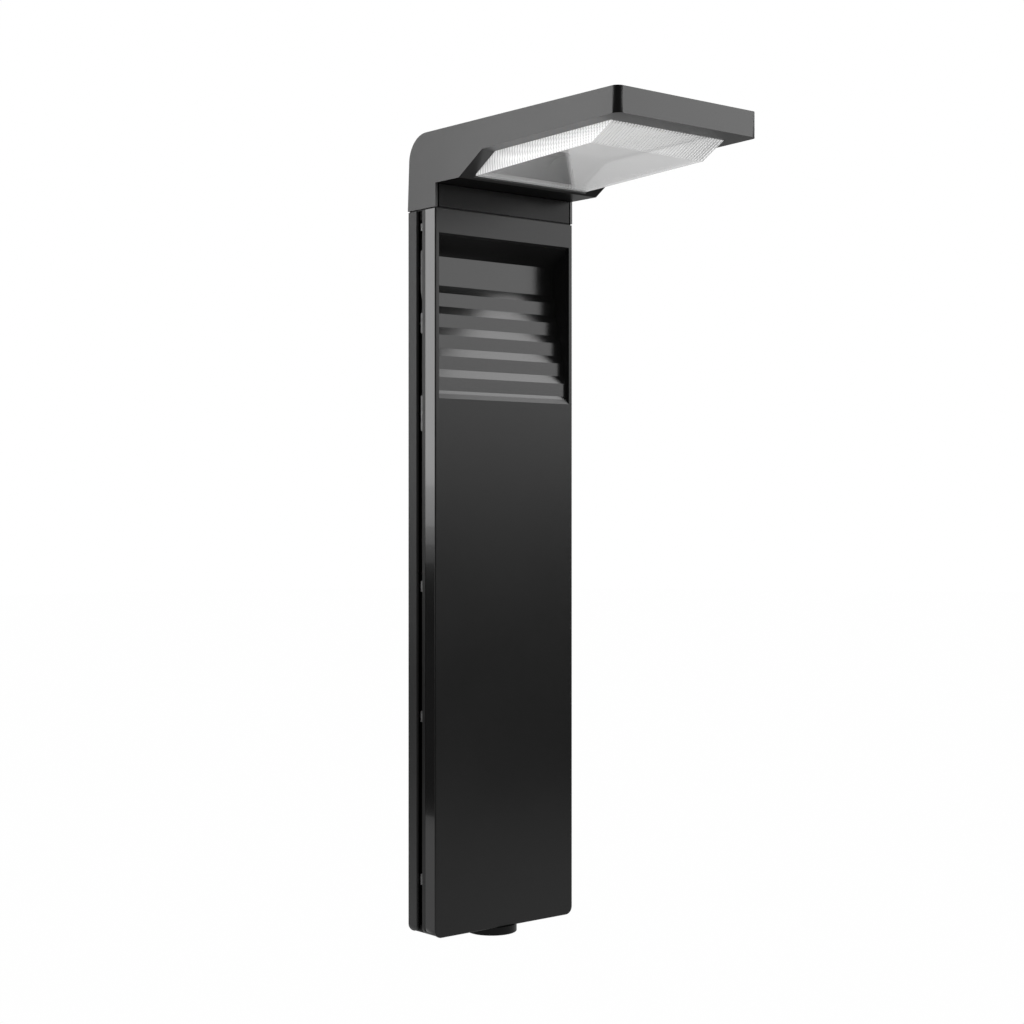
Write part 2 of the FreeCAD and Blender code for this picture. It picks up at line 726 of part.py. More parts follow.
def spacers():
    """Blocks that hold the front shell's lips off the rails and show in the shadow gap."""
    body = new_body("gap_spacers")
    blocks = []
    for z, height in SPACERS:
        block = rectangle(SPACER_INNER, SPACER_OUTER, f"{z} - {height} / 2", f"{z} + {height} / 2")
        blocks += [block, mirrored(block)]
    holes = [(x, z, "screw + hole_clearance") for x, z in SPACER_SCREWS]
    prism(body, "XZ", FRONT_SHELL_BACK, RAIL_FRONT, blocks, holes)
    head = f"({RAIL_FRONT} + rail_wall)"
    screws(
        "spacer_screws", "XZ", SPACER_SCREWS, "screw", "screw_head",
        head, f"{head} + screw_head_height", LIP_FRONT, head,
    )


def rail(name, side):
    """Channel that stands on the base plate, open towards the column's side."""
    body = new_body(name)
    inner = f"{side} * {RAIL_INNER}"
    web = f"{side} * ({RAIL_INNER} + rail_wall)"
    outer = f"{side} * {RAIL_OUTER}"
    section = [
        (inner, RAIL_FRONT),
        (outer, RAIL_FRONT),
        (outer, f"{RAIL_FRONT} + rail_wall"),
        (web, f"{RAIL_FRONT} + rail_wall"),
        (web, f"{RAIL_BACK} - rail_wall"),
        (outer, f"{RAIL_BACK} - rail_wall"),
        (outer, RAIL_BACK),
        (inner, RAIL_BACK),
    ]
    prism(body, "XY", "base_thickness", CAP_BOTTOM, [section])
    mine = [place for place in SPACER_SCREWS + PAD_SCREWS if str(place[0]).startswith(f"{side} ")]
    holes = [(x, z, "screw + hole_clearance") for x, z in mine]
    holes += [(x, z, "screw + thread_clearance") for x, z in TRAY_SCREWS if str(x).startswith(f"{side} ")]
    cut(body, "XZ", f"{RAIL_FRONT} - 1", f"{RAIL_FRONT} + rail_wall + 1", circles=holes)
    rear = [(x, z, "screw + thread_clearance") for x, z in REAR_SCREWS if str(x).startswith(f"{side} ")]
    cut(body, "XZ", f"{RAIL_BACK} - rail_wall - 1", f"{RAIL_BACK} + 1", circles=rear)
    through = [(y, z, "screw + hole_clearance") for y, z in LUG_SCREWS_LOW + LUG_SCREWS_HIGH]
    low, high = (inner, web) if side > 0 else (web, inner)
    cut(body, "YZ", f"{low} - 1", f"{high} + 1", circles=through)


def end_plate(name, low, high, lug_low, lug_high, lug_screws):
    """Plate inside the shells with a lug that fills each rail's channel."""
    body = new_body(name)
    half_x = f"({SIDE_INNER} - plate_clearance)"
    half_y = f"({BACK_INNER} - plate_clearance)"
    prism(body, "XY", low, high, [rectangle(f"-{half_x}", half_x, f"-{half_y}", half_y)])
    lug = rectangle(
        f"{RAIL_INNER} + rail_wall + lug_clearance",
        RAIL_OUTER,
        LUG_FRONT,
        LUG_BACK,
    )
    prism(body, "XY", lug_low, lug_high, [lug, mirrored(lug)])
    holes = [(y, z, "screw + thread_clearance") for y, z in lug_screws]
    cut(body, "YZ", f"-{RAIL_OUTER} - 1", f"{RAIL_OUTER} + 1", circles=holes)
    return body, half_x


def base_plate():
    lug_top = "base_thickness + lug_height"
    body, half_x = end_plate("base_plate", 0, "base_thickness", "base_thickness", lug_top, LUG_SCREWS_LOW)
    fillet(body, "base_corner", edges_along(body, "y", x=(f"-{half_x}", half_x), z=("0",)))
    pilot = (0, 0, "pilot_radius + pilot_clearance")
    tapped = [(x, y, "screw + thread_clearance") for x, y in HUB_SCREWS]
    cut(body, "XY", -1, "base_thickness + 1", circles=[pilot] + tapped)


def column_cap():
    lug_foot = f"{CAP_BOTTOM} - lug_height"
    body, _ = end_plate("column_cap", CAP_BOTTOM, "column_height", lug_foot, CAP_BOTTOM, LUG_SCREWS_HIGH)
    bolts = [(x, y, "bolt + hole_clearance") for x, y in HEAD_BOLTS]
    gland = ("lead_x", LEAD_Y, "lead_radius + gland_wall + lead_clearance")
    cut(body, "XY", f"{CAP_BOTTOM} - 1", "column_height + 1", circles=bolts + [gland])


def rail_screws():
    """Screws through each rail's web into the lugs at both ends."""
    body = new_body("rail_screws")
    places = LUG_SCREWS_LOW + LUG_SCREWS_HIGH
    tip = f"({RAIL_INNER} + rail_wall + rail_screw_bite)"
    heads = f"({RAIL_INNER} - screw_head_height)"
    add_screws(body, "YZ", places, "screw", "screw_head", heads, RAIL_INNER, RAIL_INNER, tip)
    add_screws(
        body, "YZ", places, "screw", "screw_head", f"-{RAIL_INNER}", f"-{heads}", f"-{tip}", f"-{RAIL_INNER}"
    )


def base_hub():
    """Round hub with a pipe thread up its middle, modelled as a plain bore at the thread's minor radius."""
    body = new_body("base_hub")
    bore = (0, 0, "thread_minor_radius")
    prism(body, "XY", "-hub_height", 0, circles=[(0, 0, "hub_radius"), bore])
    prism(body, "XY", 0, "base_thickness", circles=[(0, 0, "pilot_radius"), bore])
    cut(body, "XY", "-hub_height - 1", 1, circles=[(x, y, "screw + hole_clearance") for x, y in HUB_SCREWS])
    wells = [(x, y, "screw_head + hole_clearance") for x, y in HUB_SCREWS]
    seat = "(hub_screw_sink + screw_head_height - hub_height)"
    cut(body, "XY", "-hub_height - 1", seat, circles=wells)
    rims = []
    for index, edge in enumerate(body.Shape.Edges, 1):
        round_edge = edge.Curve.TypeId == "Part::GeomCircle"
        if round_edge and abs(edge.Curve.Radius - number("hub_radius")) < 0.01:
            if abs(edge.Curve.Center.z + number("hub_height")) < 0.01:
                rims.append(f"Edge{index}")
    fillet(body, "hub_edge_radius", rims)
    screws(
        "hub_screws", "XY", HUB_SCREWS, "screw", "screw_head",
        f"{seat} - screw_head_height", seat, seat, "hub_screw_end",
    )


def inlet_grommet():
    body = new_body("inlet_grommet")
    ring = [(0, 0, "grommet_radius"), (0, 0, "inlet_radius")]
    prism(body, "XY", "base_thickness", "base_thickness + grommet_height", circles=ring)


def joint_gasket():
    body = new_body("joint_gasket")
    outer_x = f"({HALF_WIDTH} - joint_inset)"
    outer_y = f"({BACK} - joint_inset)"
    inner_y = f"({outer_y} - joint_band)"
    frame = [
        rectangle(f"-{outer_x}", outer_x, f"-{outer_y}", outer_y),
        rectangle("-joint_opening", "joint_opening", f"-{inner_y}", inner_y),
    ]
    holes = [(x, y, "bolt + hole_clearance") for x, y in HEAD_BOLTS]
    prism(body, "XY", "column_height", HEAD_BASE, frame, holes)


def rear_shell_screws():
    head = f"({BACK} - flat_head_height)"
    screws(
        "rear_shell_screws", "XZ", REAR_SCREWS, "screw", "screw_head",
        head, BACK, f"{RAIL_BACK} - rear_screw_bite", head,
    )


# ---------------------------------------------------------------- gear tray

def gear_tray():
    body = new_body("gear_tray")
    plate = rectangle(f"-{TRAY_HALF}", TRAY_HALF, "tray_low", "tray_low + tray_height")
    holes = [(x, z, "screw + hole_clearance") for x, z in TRAY_SCREWS]
    holes += [(x, z, "screw + thread_clearance") for x, z in DRIVER_SCREWS]
    prism(body, "XZ", TRAY_FRONT, RAIL_FRONT, [plate], holes)
    screws(
        "tray_screws", "XZ", TRAY_SCREWS, "screw", "screw_head",
        f"{TRAY_FRONT} - screw_head_height", TRAY_FRONT, TRAY_FRONT, f"{RAIL_FRONT} + rail_wall",
    )


def led_driver():
    body = new_body("led_driver")
    case = rectangle("-driver_half_width", "driver_half_width", "driver_low", "driver_low + driver_length")
    prism(body, "XZ", f"{TRAY_FRONT} - driver_depth", TRAY_FRONT, [case])
    tabs = rectangle(
        "-driver_tab_half_width",
        "driver_tab_half_width",
        "driver_low - driver_tab",
        "driver_low + driver_length + driver_tab",
    )
    prism(body, "XZ", f"{TRAY_FRONT} - driver_tab_thickness", TRAY_FRONT, [tabs])
    holes = [(x, z, "screw + hole_clearance") for x, z in DRIVER_SCREWS]
    cut(body, "XZ", f"{TRAY_FRONT} - driver_tab_thickness - 1", f"{TRAY_FRONT} + 1", circles=holes)
    seat = f"({TRAY_FRONT} - driver_tab_thickness)"
    screws(
        "driver_screws", "XZ", DRIVER_SCREWS, "screw", "screw_head",
        f"{seat} - screw_head_height", seat, seat, f"{RAIL_FRONT} + driver_screw_end",
    )


def surge_protector():
    body = new_body("surge_protector")
    case = rectangle("surge_left", "surge_left + surge_width", "surge_low", "surge_low + surge_height")
    prism(body, "XZ", f"{TRAY_FRONT} - surge_depth", TRAY_FRONT, [case])


def terminal_block():
    body = new_body("terminal_block")
    case = rectangle(
        "terminal_left", "terminal_left + terminal_width", "terminal_low", "terminal_low + terminal_height"
    )
    face = f"({TRAY_FRONT} - terminal_depth)"
    prism(body, "XZ", face, TRAY_FRONT, [case])
    wells = [
        (f"terminal_left + ({pole} + 0.5) * terminal_pitch", "terminal_low + terminal_height / 2", "screw_head")
        for pole in TERMINAL_POLES
    ]
    cut(body, "XZ", f"{face} - 1", f"{face} + terminal_well", circles=wells)


def earth_terminal():
    """Stud with its washer, and the nut as a solid of its own."""
    body = new_body("earth_terminal")
    washer = f"({TRAY_FRONT} - washer_thickness)"
    prism(body, "XZ", washer, TRAY_FRONT, circles=[("earth_x", "earth_z", "bolt_head")])
    prism(body, "XZ", f"{TRAY_FRONT} - earth_stud_length", washer, circles=[("earth_x", "earth_z", "screw")])
    nut = new_body("earth_nut")
    outline = hexagon("earth_x", "earth_z", "nut_size")
    bore = ("earth_x", "earth_z", "screw + thread_clearance")
    prism(nut, "XZ", f"{washer} - nut_height", washer, [outline], [bore])


def lead_clips():
    """Saddles that hold the leads: one on the baffle's back, one on the tray."""
    body = new_body("lead_clips")
    reach = "(lead_radius + clip_margin)"
    upper = rectangle(f"lead_x - {reach}", f"lead_x + {reach}", BAFFLE_BACK, f"{LEAD_Y} + {reach}")
    middle = f"(({RECESS_BACK_FOOT} + {RECESS_BACK_TOP}) / 2)"
    bore = ("lead_x", LEAD_Y, "lead_radius + lead_clearance")
    prism(body, "XY", f"{middle} - clip_height / 2", f"{middle} + clip_height / 2", [upper], [bore])
    lower_x = "(terminal_left + terminal_width / 2)"
    lower_y = f"({TRAY_FRONT} - terminal_depth / 2)"
    lower = rectangle(f"{lower_x} - {reach}", f"{lower_x} + {reach}", f"{lower_y} - {reach}", TRAY_FRONT)
    low = "(terminal_low + terminal_height + clip_height)"
    bore = (lower_x, lower_y, "lead_radius + lead_clearance")
    prism(body, "XY", low, f"{low} + clip_height", [lower], [bore])


def lead_gland():
    """Grommet in the column cap round the lead to the head."""
    body = new_body("lead_gland")
    bore = ("lead_x", LEAD_Y, "lead_radius + lead_clearance")
    sleeve = ("lead_x", LEAD_Y, "lead_radius + gland_wall")
    collar = ("lead_x", LEAD_Y, "lead_radius + gland_wall + gland_flange")
    prism(body, "XY", f"{CAP_BOTTOM} - joint_gap", CAP_BOTTOM, circles=[collar, bore])
    prism(body, "XY", CAP_BOTTOM, "column_height", circles=[sleeve, bore])
    prism(body, "XY", "column_height", HEAD_BASE, circles=[collar, bore])


# ---------------------------------------------------------------- lamp head

def head_outline():
    return [
        (FRONT, HEAD_BASE),
        (BACK, HEAD_BASE),
        (f"{BACK} - head_draft", HEAD_TOP),
        (NOSE, HEAD_TOP),
        (NOSE, NOSE_EDGE),
        (BEND_Y, BEND_Z),
        (SHELF_Y, SHELF_Z),
        (FRONT, SHELF_Z),
    ]


def head_hollow():
    """Inside of the casting: neck, slab, and the slot that the neck plate closes."""
    nose_inner = f"({NOSE} + head_wall)"
    floor_back = f"{BACK} - head_wall - head_draft * neck_floor / head_height"
    return [
        (f"{FRONT} - 1", f"{HEAD_BASE} - 1"),
        (NECK_FLOOR_FRONT, f"{HEAD_BASE} - 1"),
        (NECK_FLOOR_FRONT, FLOOR_TOP),
        (floor_back, FLOOR_TOP),
        (f"{BACK} - head_wall - head_draft", ROOF),
        (nose_inner, ROOF),
        (nose_inner, slab_underside(nose_inner, "rim_wall")),
        (BEND_Y, f"{BEND_Z} + rim_wall"),
        (SHELF_Y, f"{SHELF_Z} + rim_wall"),
        (NECK_FLOOR_FRONT, f"{SHELF_Z} + rim_wall"),
        (NECK_FLOOR_FRONT, SHELF_Z),
        (f"{FRONT} - 1", SHELF_Z),
    ]


def head_housing():
    body = new_body("head_housing")
    prism(body, "YZ", f"-{HALF_WIDTH}", HALF_WIDTH, [head_outline()])
    inner_half = f"({HALF_WIDTH} - head_wall)"
    cut(body, "YZ", f"-{inner_half}", inner_half, [head_hollow()])
    fillet(
        body, "head_rear_radius", edges_along(body, "x", y=(f"{BACK} - head_draft",), z=(HEAD_TOP,))
    )
    inner_corner = edges_along(body, "x", y=(f"{BACK} - head_wall - head_draft",), z=(ROOF,))
    fillet(body, "head_rear_radius - head_wall", inner_corner)
    fillet(body, "nose_radius", edges_along(body, "z", x=(f"-{HALF_WIDTH}", HALF_WIDTH), y=(NOSE,)))
    inner_nose = edges_along(body, "z", x=(f"-{inner_half}", inner_half), y=(f"{NOSE} + head_wall",))
    fillet(body, "nose_radius - head_wall", inner_nose)
    opening = rectangle(f"-{OPENING_HALF}", OPENING_HALF, OPENING_FRONT, OPENING_REAR)
    cut(body, "XY", f"{SHELF_Z} - 5", f"{NOSE_EDGE} + rim_wall + 2", [opening])
    mouth = rectangle(
        "-neck_opening", "neck_opening", f"{FRONT} + neck_opening_margin", f"{BACK} - neck_opening_margin"
    )
    cut(body, "XY", f"{HEAD_BASE} - 1", f"{FLOOR_TOP} + 1", [mouth])
    bosses = [(x, y, "boss_radius") for x, y in HEAD_BOLTS]
    prism(body, "XY", f"{HEAD_BASE} + 1", f"{HEAD_BASE} + boss_height", circles=bosses)
    lugs = []
    for x, z in NECK_LUGS:
        left, right = f"{x} - neck_lug_width / 2", f"{x} + neck_lug_width / 2"
        lugs.append(rectangle(left, right, f"{HEAD_BASE} + 1", f"{z} + neck_lug_height / 2"))
    prism(body, "XZ", NECK_FLOOR_FRONT, f"{NECK_FLOOR_FRONT} + neck_plate_thickness", lugs)
    tapped = [(x, y, "bolt + thread_clearance") for x, y in HEAD_BOLTS]
    cut(body, "XY", f"{HEAD_BASE} - 1", f"{HEAD_BASE} + boss_height - boss_hole_stop", circles=tapped)
    lug_holes = [(x, z, "small_screw + hole_clearance") for x, z in NECK_LUGS]
    cut(
        body, "XZ", f"{NECK_FLOOR_FRONT} - 1", f"{NECK_FLOOR_FRONT} + neck_plate_thickness + 1",
        circles=lug_holes,
    )
    for y in CLAMP_ROWS:
        boss_top = slab_underside(y, LENS_TOP_LIFT)
        bosses = [(f"{side} * {CLAMP_SCREW_X}", y, "clamp_boss_radius") for side in BOTH_SIDES]
        prism(body, "XY", slab_underside(y, "rim_wall - clamp_boss_root"), boss_top, circles=bosses)
        holes = [(f"{side} * {CLAMP_SCREW_X}", y, "small_screw + thread_clearance") for side in BOTH_SIDES]
        cut(body, "XY", slab_underside(y, "rim_wall"), f"{boss_top} + 1", circles=holes)
    blind = [(x, y, "screw + thread_clearance") for x, y in HEAT_SCREWS]
    cut(body, "XY", f"{ROOF} - 1", f"{ROOF} + heat_hole_depth", circles=blind)


def head_bolts():
    screws(
        "head_bolts", "XY", HEAD_BOLTS, "bolt", "bolt_head", f"{CAP_BOTTOM} - bolt_head_height", CAP_BOTTOM,
        CAP_BOTTOM, f"{HEAD_BASE} + boss_height - bolt_stop",
    )


def neck_plate():
    body = new_body("neck_plate")
    half = f"({HALF_WIDTH} - head_wall - neck_side_gap)"
    face = rectangle(f"-{half}", half, f"{HEAD_BASE} + neck_edge_gap", f"{SHELF_Z} - neck_edge_gap")
    prism(body, "XZ", FRONT, NECK_PLATE_BACK, [face])
    blind = [(x, z, "small_screw + thread_clearance") for x, z in NECK_LUGS]
    cut(body, "XZ", f"{NECK_PLATE_BACK} - neck_hole_depth", f"{NECK_PLATE_BACK} + 1", circles=blind)
    seat = f"({NECK_FLOOR_FRONT} + neck_plate_thickness)"
    screws(
        "neck_plate_screws", "XZ", NECK_LUGS, "small_screw", "small_head",
        seat, f"{seat} + small_head_height", f"{NECK_PLATE_BACK} - neck_screw_bite", seat,
    )


def lens():
    body = new_body("lens")
    flange_half = f"({OPENING_HALF} + lens_side_flange)"
    front = f"({OPENING_FRONT} - lens_flange)"
    rear = f"({OPENING_REAR} + lens_flange)"
    prism(
        body, "YZ", f"-{flange_half}", flange_half,
        [underside_band(front, rear, LENS_FLANGE_LIFT, LENS_TOP_LIFT)],
    )
    inside = f"({LENS_FLANGE_LIFT} + lens_wall / 2)"
    slope_top = slab_underside(LENS_FRONT, 0)
    slope_foot_y = f"({LENS_FRONT} + lens_front_run)"
    slope_foot_z = f"({NOSE_EDGE} - lens_front_drop)"
    bowl = [
        (LENS_FRONT, slab_underside(LENS_FRONT, inside)),
        (LENS_FRONT, slope_top),
        (slope_foot_y, slope_foot_z),
        (LENS_REAR, f"{NOSE_EDGE} - lens_rear_drop"),
        (LENS_REAR, chamfer_underside(LENS_REAR, inside)),
        (BEND_Y, f"{BEND_Z} + {inside}"),
    ]
    prism(body, "YZ", f"-{LENS_HALF}", LENS_HALF, [bowl])
    inner_half = f"({LENS_HALF} - lens_wall)"
    top = f"{NOSE_EDGE} + {LENS_TOP_LIFT} + 1"
    hollow = [
        (f"{LENS_FRONT} + lens_wall", top),
        (f"{LENS_FRONT} + lens_wall", f"{slope_top} + lens_wall / 2"),
        (f"{slope_foot_y} + lens_wall / 2", f"{slope_foot_z} + lens_wall"),
        (f"{LENS_REAR} - lens_wall", f"{NOSE_EDGE} - lens_rear_drop + lens_wall"),
        (f"{LENS_REAR} - lens_wall", top),
    ]
    cut(body, "YZ", f"-{inner_half}", inner_half, [hollow])


def lens_gasket():
    body = new_body("lens_gasket")
    half = f"({OPENING_HALF} + lens_side_flange)"
    front = f"({OPENING_FRONT} - lens_flange)"
    rear = f"({OPENING_REAR} + lens_flange)"
    prism(body, "YZ", f"-{half}", half, [underside_band(front, rear, "rim_wall", LENS_FLANGE_LIFT)])
    opening = rectangle(
        f"-{OPENING_HALF} - 1", f"{OPENING_HALF} + 1", f"{OPENING_FRONT} - 1", f"{OPENING_REAR} + 1"
    )
    cut(body, "XY", f"{SHELF_Z} - 5", f"{NOSE_EDGE} + 12", [opening])


def lens_clamps():
    body = new_body("lens_clamps")
    screw_body = new_body("lens_clamp_screws")
    outer = f"({HALF_WIDTH} - head_wall - clamp_side_gap)"
    for y in CLAMP_ROWS:
        low = slab_underside(y, f"{LENS_TOP_LIFT} + seat_gap")
        high = f"({low} + clamp_thickness)"
        plate = rectangle(f"{outer} - clamp_width", outer, f"{y} - clamp_length / 2", f"{y} + clamp_length / 2")
        places = [(f"{side} * {CLAMP_SCREW_X}", y) for side in BOTH_SIDES]
        holes = [(x, row, "small_screw + hole_clearance") for x, row in places]
        prism(body, "XY", low, high, [plate, mirrored(plate)], holes)
        add_screws(
            screw_body, "XY", places, "small_screw", "small_head",
            high, f"{high} + small_head_height", slab_underside(y, "rim_wall + clamp_screw_stop"), high,
        )


def heat_plate():
    body = new_body("heat_plate")
    front = f"({NOSE} + heat_plate_front_gap)"
    rear = f"({BEND_Y} + heat_plate_past_bend)"
    plate = rectangle(f"-{HEAT_PLATE_HALF}", HEAT_PLATE_HALF, front, rear)
    holes = [(x, y, "screw + hole_clearance") for x, y in HEAT_SCREWS]
    prism(body, "XY", HEAT_PLATE_LOW, ROOF, [plate], holes)
    blind = [(x, y, "small_screw + thread_clearance") for x, y in BOARD_SCREWS]
    cut(body, "XY", f"{HEAT_PLATE_LOW} - 1", f"{HEAT_PLATE_LOW} + board_hole_depth", circles=blind)
    screws(
        "heat_plate_screws", "XY", HEAT_SCREWS, "screw", "screw_head",
        f"{HEAT_PLATE_LOW} - screw_head_height", HEAT_PLATE_LOW, HEAT_PLATE_LOW, f"{ROOF} + heat_screw_bite",
    )


def led_board():
    body = new_body("led_board")
    plate = rectangle("-board_half_width", "board_half_width", BOARD_FRONT, BOARD_REAR)
    holes = [(x, y, "small_screw + hole_clearance") for x, y in BOARD_SCREWS]
    prism(body, "XY", BOARD_LOW, HEAT_PLATE_LOW, [plate], holes)
    emitters = new_body("led_emitters")
    discs = [(x, y, "emitter_radius") for x, y in EMITTERS]
    prism(emitters, "XY", f"{BOARD_LOW} - emitter_height", BOARD_LOW, circles=discs)
    connector = new_body("board_connector")
    case = rectangle(
        "lead_x - connector_half_width",
        "lead_x + connector_half_width",
        f"{BOARD_REAR} - connector_inset - connector_length",
        f"{BOARD_REAR} - connector_inset",
    )
    prism(connector, "XY", f"{BOARD_LOW} - connector_height", BOARD_LOW, [case])


def reflector_tray():
    body = new_body("reflector_tray")
    floor = rectangle(f"-{REFLECTOR_HALF}", REFLECTOR_HALF, REFLECTOR_FRONT, REFLECTOR_REAR)
    eyes = [(x, y, "emitter_hole_radius") for x, y in EMITTERS]
    holes = [(x, y, "small_screw + hole_clearance") for x, y in BOARD_SCREWS]
    prism(body, "XY", REFLECTOR_LOW, BOARD_LOW, [floor], eyes + holes)
    inside = rectangle(
        f"reflector_wall - {REFLECTOR_HALF}",
        f"{REFLECTOR_HALF} - reflector_wall",
        f"{REFLECTOR_FRONT} + reflector_wall",
        f"{REFLECTOR_REAR} - reflector_wall",
    )
    foot = slab_underside(REFLECTOR_FRONT, f"{LENS_TOP_LIFT} + reflector_gap")
    prism(body, "XY", foot, REFLECTOR_LOW, [floor, inside])
    screws(
        "board_screws", "XY", BOARD_SCREWS, "small_screw", "small_head",
        f"{REFLECTOR_LOW} - small_head_height", REFLECTOR_LOW,
        REFLECTOR_LOW, f"{HEAT_PLATE_LOW} + board_screw_bite",
    )


# ---------------------------------------------------------------- leads

def tube(name, points, radius, bend):
    """Round lead of straight runs joined by tangent arcs."""
    corners = [FreeCAD.Vector(*point) for point in points]
    edges = []
    here = corners[0]
    for before, corner, after in zip(corners, corners[1:], corners[2:]):
        incoming = (corner - before).normalize()
        outgoing = (after - corner).normalize()
        half_turn = incoming.getAngle(outgoing) / 2
        tangent = bend * math.tan(half_turn)
        start = corner - incoming * tangent
        end = corner + outgoing * tangent
        inward = (outgoing - incoming).normalize()
        middle = corner + inward * (bend / math.cos(half_turn) - bend)
        edges.append(Part.LineSegment(here, start).toShape())
        edges.append(Part.Arc(start, middle, end).toShape())
        print(f"{name}: bend radius {bend:.1f}, turn {math.degrees(2 * half_turn):.0f} degrees")
        here = end
    edges.append(Part.LineSegment(here, corners[-1]).toShape())
    path = Part.Wire(edges)
    axis = corners[1] - corners[0]
    section = Part.Wire([Part.makeCircle(radius, corners[0], axis)])
    solid = path.makePipeShell([section], True, True)
    expected = math.pi * radius ** 2 * path.Length
    print(f"{name}: length {path.Length:.1f}, volume {solid.Volume:.0f} against {expected:.0f}")
    if abs(solid.Volume - expected) > 0.01 * expected:
        raise ValueError(f"{name} has the wrong volume")
    feature = doc.addObject("Part::Feature", name)
    feature.Label = name
    feature.Shape = solid
    feature.Placement = FreeCAD.Placement()
    bodies.append(feature)


def leads():
    radius = number("lead_radius")
    thin = number("thin_lead_radius")
    rail_y = number(f"{TRAY_FRONT} - terminal_depth / 2")
    terminal_top = number("terminal_low + terminal_height")
    terminal_x = number("terminal_left + terminal_width / 2")
    driver_x = terminal_x + number("driver_lead_shift")
    driver_foot = number("driver_low")
    driver_top = number("driver_low + driver_length")
    tray_top = number("tray_low + tray_height")
    lead_x = number("lead_x")
    lead_y = number(LEAD_Y)
    head_z = number(f"{BOARD_LOW} - connector_height / 2")
    head_end = number(f"{BOARD_REAR} - connector_inset")
    start_x = number("head_lead_start")
    rise = tray_top + number("head_lead_rise")
    shifted = rise + number("head_lead_shift")
    tube(
        "head_lead",
        [
            (start_x, rail_y, driver_top),
            (start_x, rail_y, rise),
            (lead_x, lead_y, shifted),
            (lead_x, lead_y, head_z),
            (lead_x, head_end, head_z),
        ],
        radius,
        number("lead_bend"),
    )
    tube(
        "driver_lead",
        [
            (terminal_x, rail_y, terminal_top),
            (terminal_x, rail_y, terminal_top + number("driver_lead_rise")),
            (driver_x, rail_y, driver_foot - number("driver_lead_end")),
            (driver_x, rail_y, driver_foot),
        ],
        radius,
        number("lead_bend"),
    )
    surge_x = number("surge_left + surge_width / 4")
    surge_foot = number("surge_low")
    middle = (terminal_top + surge_foot) / 2
    pole_x = number("terminal_left + terminal_width - terminal_pitch / 2")
    tube(
        "surge_lead",
        [
            (pole_x, rail_y, terminal_top),
            (pole_x, rail_y, middle),
            (surge_x, rail_y, middle),
            (surge_x, rail_y, surge_foot),
        ],
        thin,
        number("thin_lead_bend"),
    )


# ---------------------------------------------------------------- build and write

def build():
    fill_sheet()
    front_shell()
    side_trim("left_trim", -1)
    side_trim("right_trim", 1)
    rear_shell()
    rear_shell_screws()
    recess_baffle()
    baffle_nuts()
    baffle_pads()
    spacers()
    rail("left_rail", -1)
    rail("right_rail", 1)
    rail_screws()
    base_plate()
    column_cap()
    base_hub()
    inlet_grommet()
    joint_gasket()
    gear_tray()
    led_driver()
    surge_protector()
    terminal_block()
    earth_terminal()
    lead_clips()
    lead_gland()
    head_housing()
    head_bolts()
    neck_plate()
    lens()
    lens_gasket()
    lens_clamps()
    heat_plate()
    led_board()
    reflector_tray()
    leads()


def check():
    for item in doc.Objects:
        if "Invalid" in item.State or "Error" in item.State:
            raise ValueError(f"{item.Name} failed: {item.State}")
    for body in bodies:
        if body.Shape.isNull() or not body.Shape.isValid() or not body.Shape.Solids:
            raise ValueError(f"{body.Label} has no valid shape")


def write():
    os.makedirs("parts", exist_ok=True)
    for body in bodies:
        body.Shape.exportStep(f"parts/{body.Label}.step")
        print(f"{body.Label}: {len(body.Shape.Solids)} solids, {body.Shape.Volume:.0f} cubic mm")


build()
doc.recompute()
check()
write()
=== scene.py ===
# %% [markdown]
# # A bollard light for a garden path
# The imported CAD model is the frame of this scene. Nothing in it is moved. This notebook gives every piece
# its finish, models the fluted lens again in mesh work, and sets up the studio round it.

# %% Load the frame
import math

import bmesh
import bpy
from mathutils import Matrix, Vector


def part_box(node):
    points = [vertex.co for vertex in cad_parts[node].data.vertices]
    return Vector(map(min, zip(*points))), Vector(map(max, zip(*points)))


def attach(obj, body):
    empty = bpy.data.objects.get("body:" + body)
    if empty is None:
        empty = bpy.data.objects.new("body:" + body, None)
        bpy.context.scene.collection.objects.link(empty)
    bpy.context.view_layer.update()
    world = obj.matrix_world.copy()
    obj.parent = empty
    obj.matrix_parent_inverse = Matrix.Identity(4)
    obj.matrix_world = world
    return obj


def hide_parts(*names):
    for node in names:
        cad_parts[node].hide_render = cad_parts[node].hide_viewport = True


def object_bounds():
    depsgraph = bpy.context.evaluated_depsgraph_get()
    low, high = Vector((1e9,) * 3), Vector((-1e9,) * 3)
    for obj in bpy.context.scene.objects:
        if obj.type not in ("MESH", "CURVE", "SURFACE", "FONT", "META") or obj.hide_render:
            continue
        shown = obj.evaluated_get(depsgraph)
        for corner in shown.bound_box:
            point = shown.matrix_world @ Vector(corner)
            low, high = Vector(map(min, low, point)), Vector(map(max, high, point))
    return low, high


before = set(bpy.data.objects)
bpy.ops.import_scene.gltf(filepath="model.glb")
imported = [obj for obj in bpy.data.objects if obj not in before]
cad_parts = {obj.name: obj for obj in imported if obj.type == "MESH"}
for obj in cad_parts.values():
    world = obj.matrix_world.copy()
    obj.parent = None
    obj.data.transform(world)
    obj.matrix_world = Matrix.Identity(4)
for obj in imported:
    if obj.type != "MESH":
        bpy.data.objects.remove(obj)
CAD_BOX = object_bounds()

scene = bpy.context.scene
MM = 0.001
print("nodes:", len(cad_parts), "box:", [[round(v, 4) for v in corner] for corner in CAD_BOX])

# %% [markdown]
# ## Camera
# The camera stands level with the middle of the post, a good two metres away, with a lens of about 65 mm.
# It could be tilted to frame the post, but then upright edges would run together, so it stays level and a
# tiny vertical shift sets the framing. The post is seen from its front left corner.

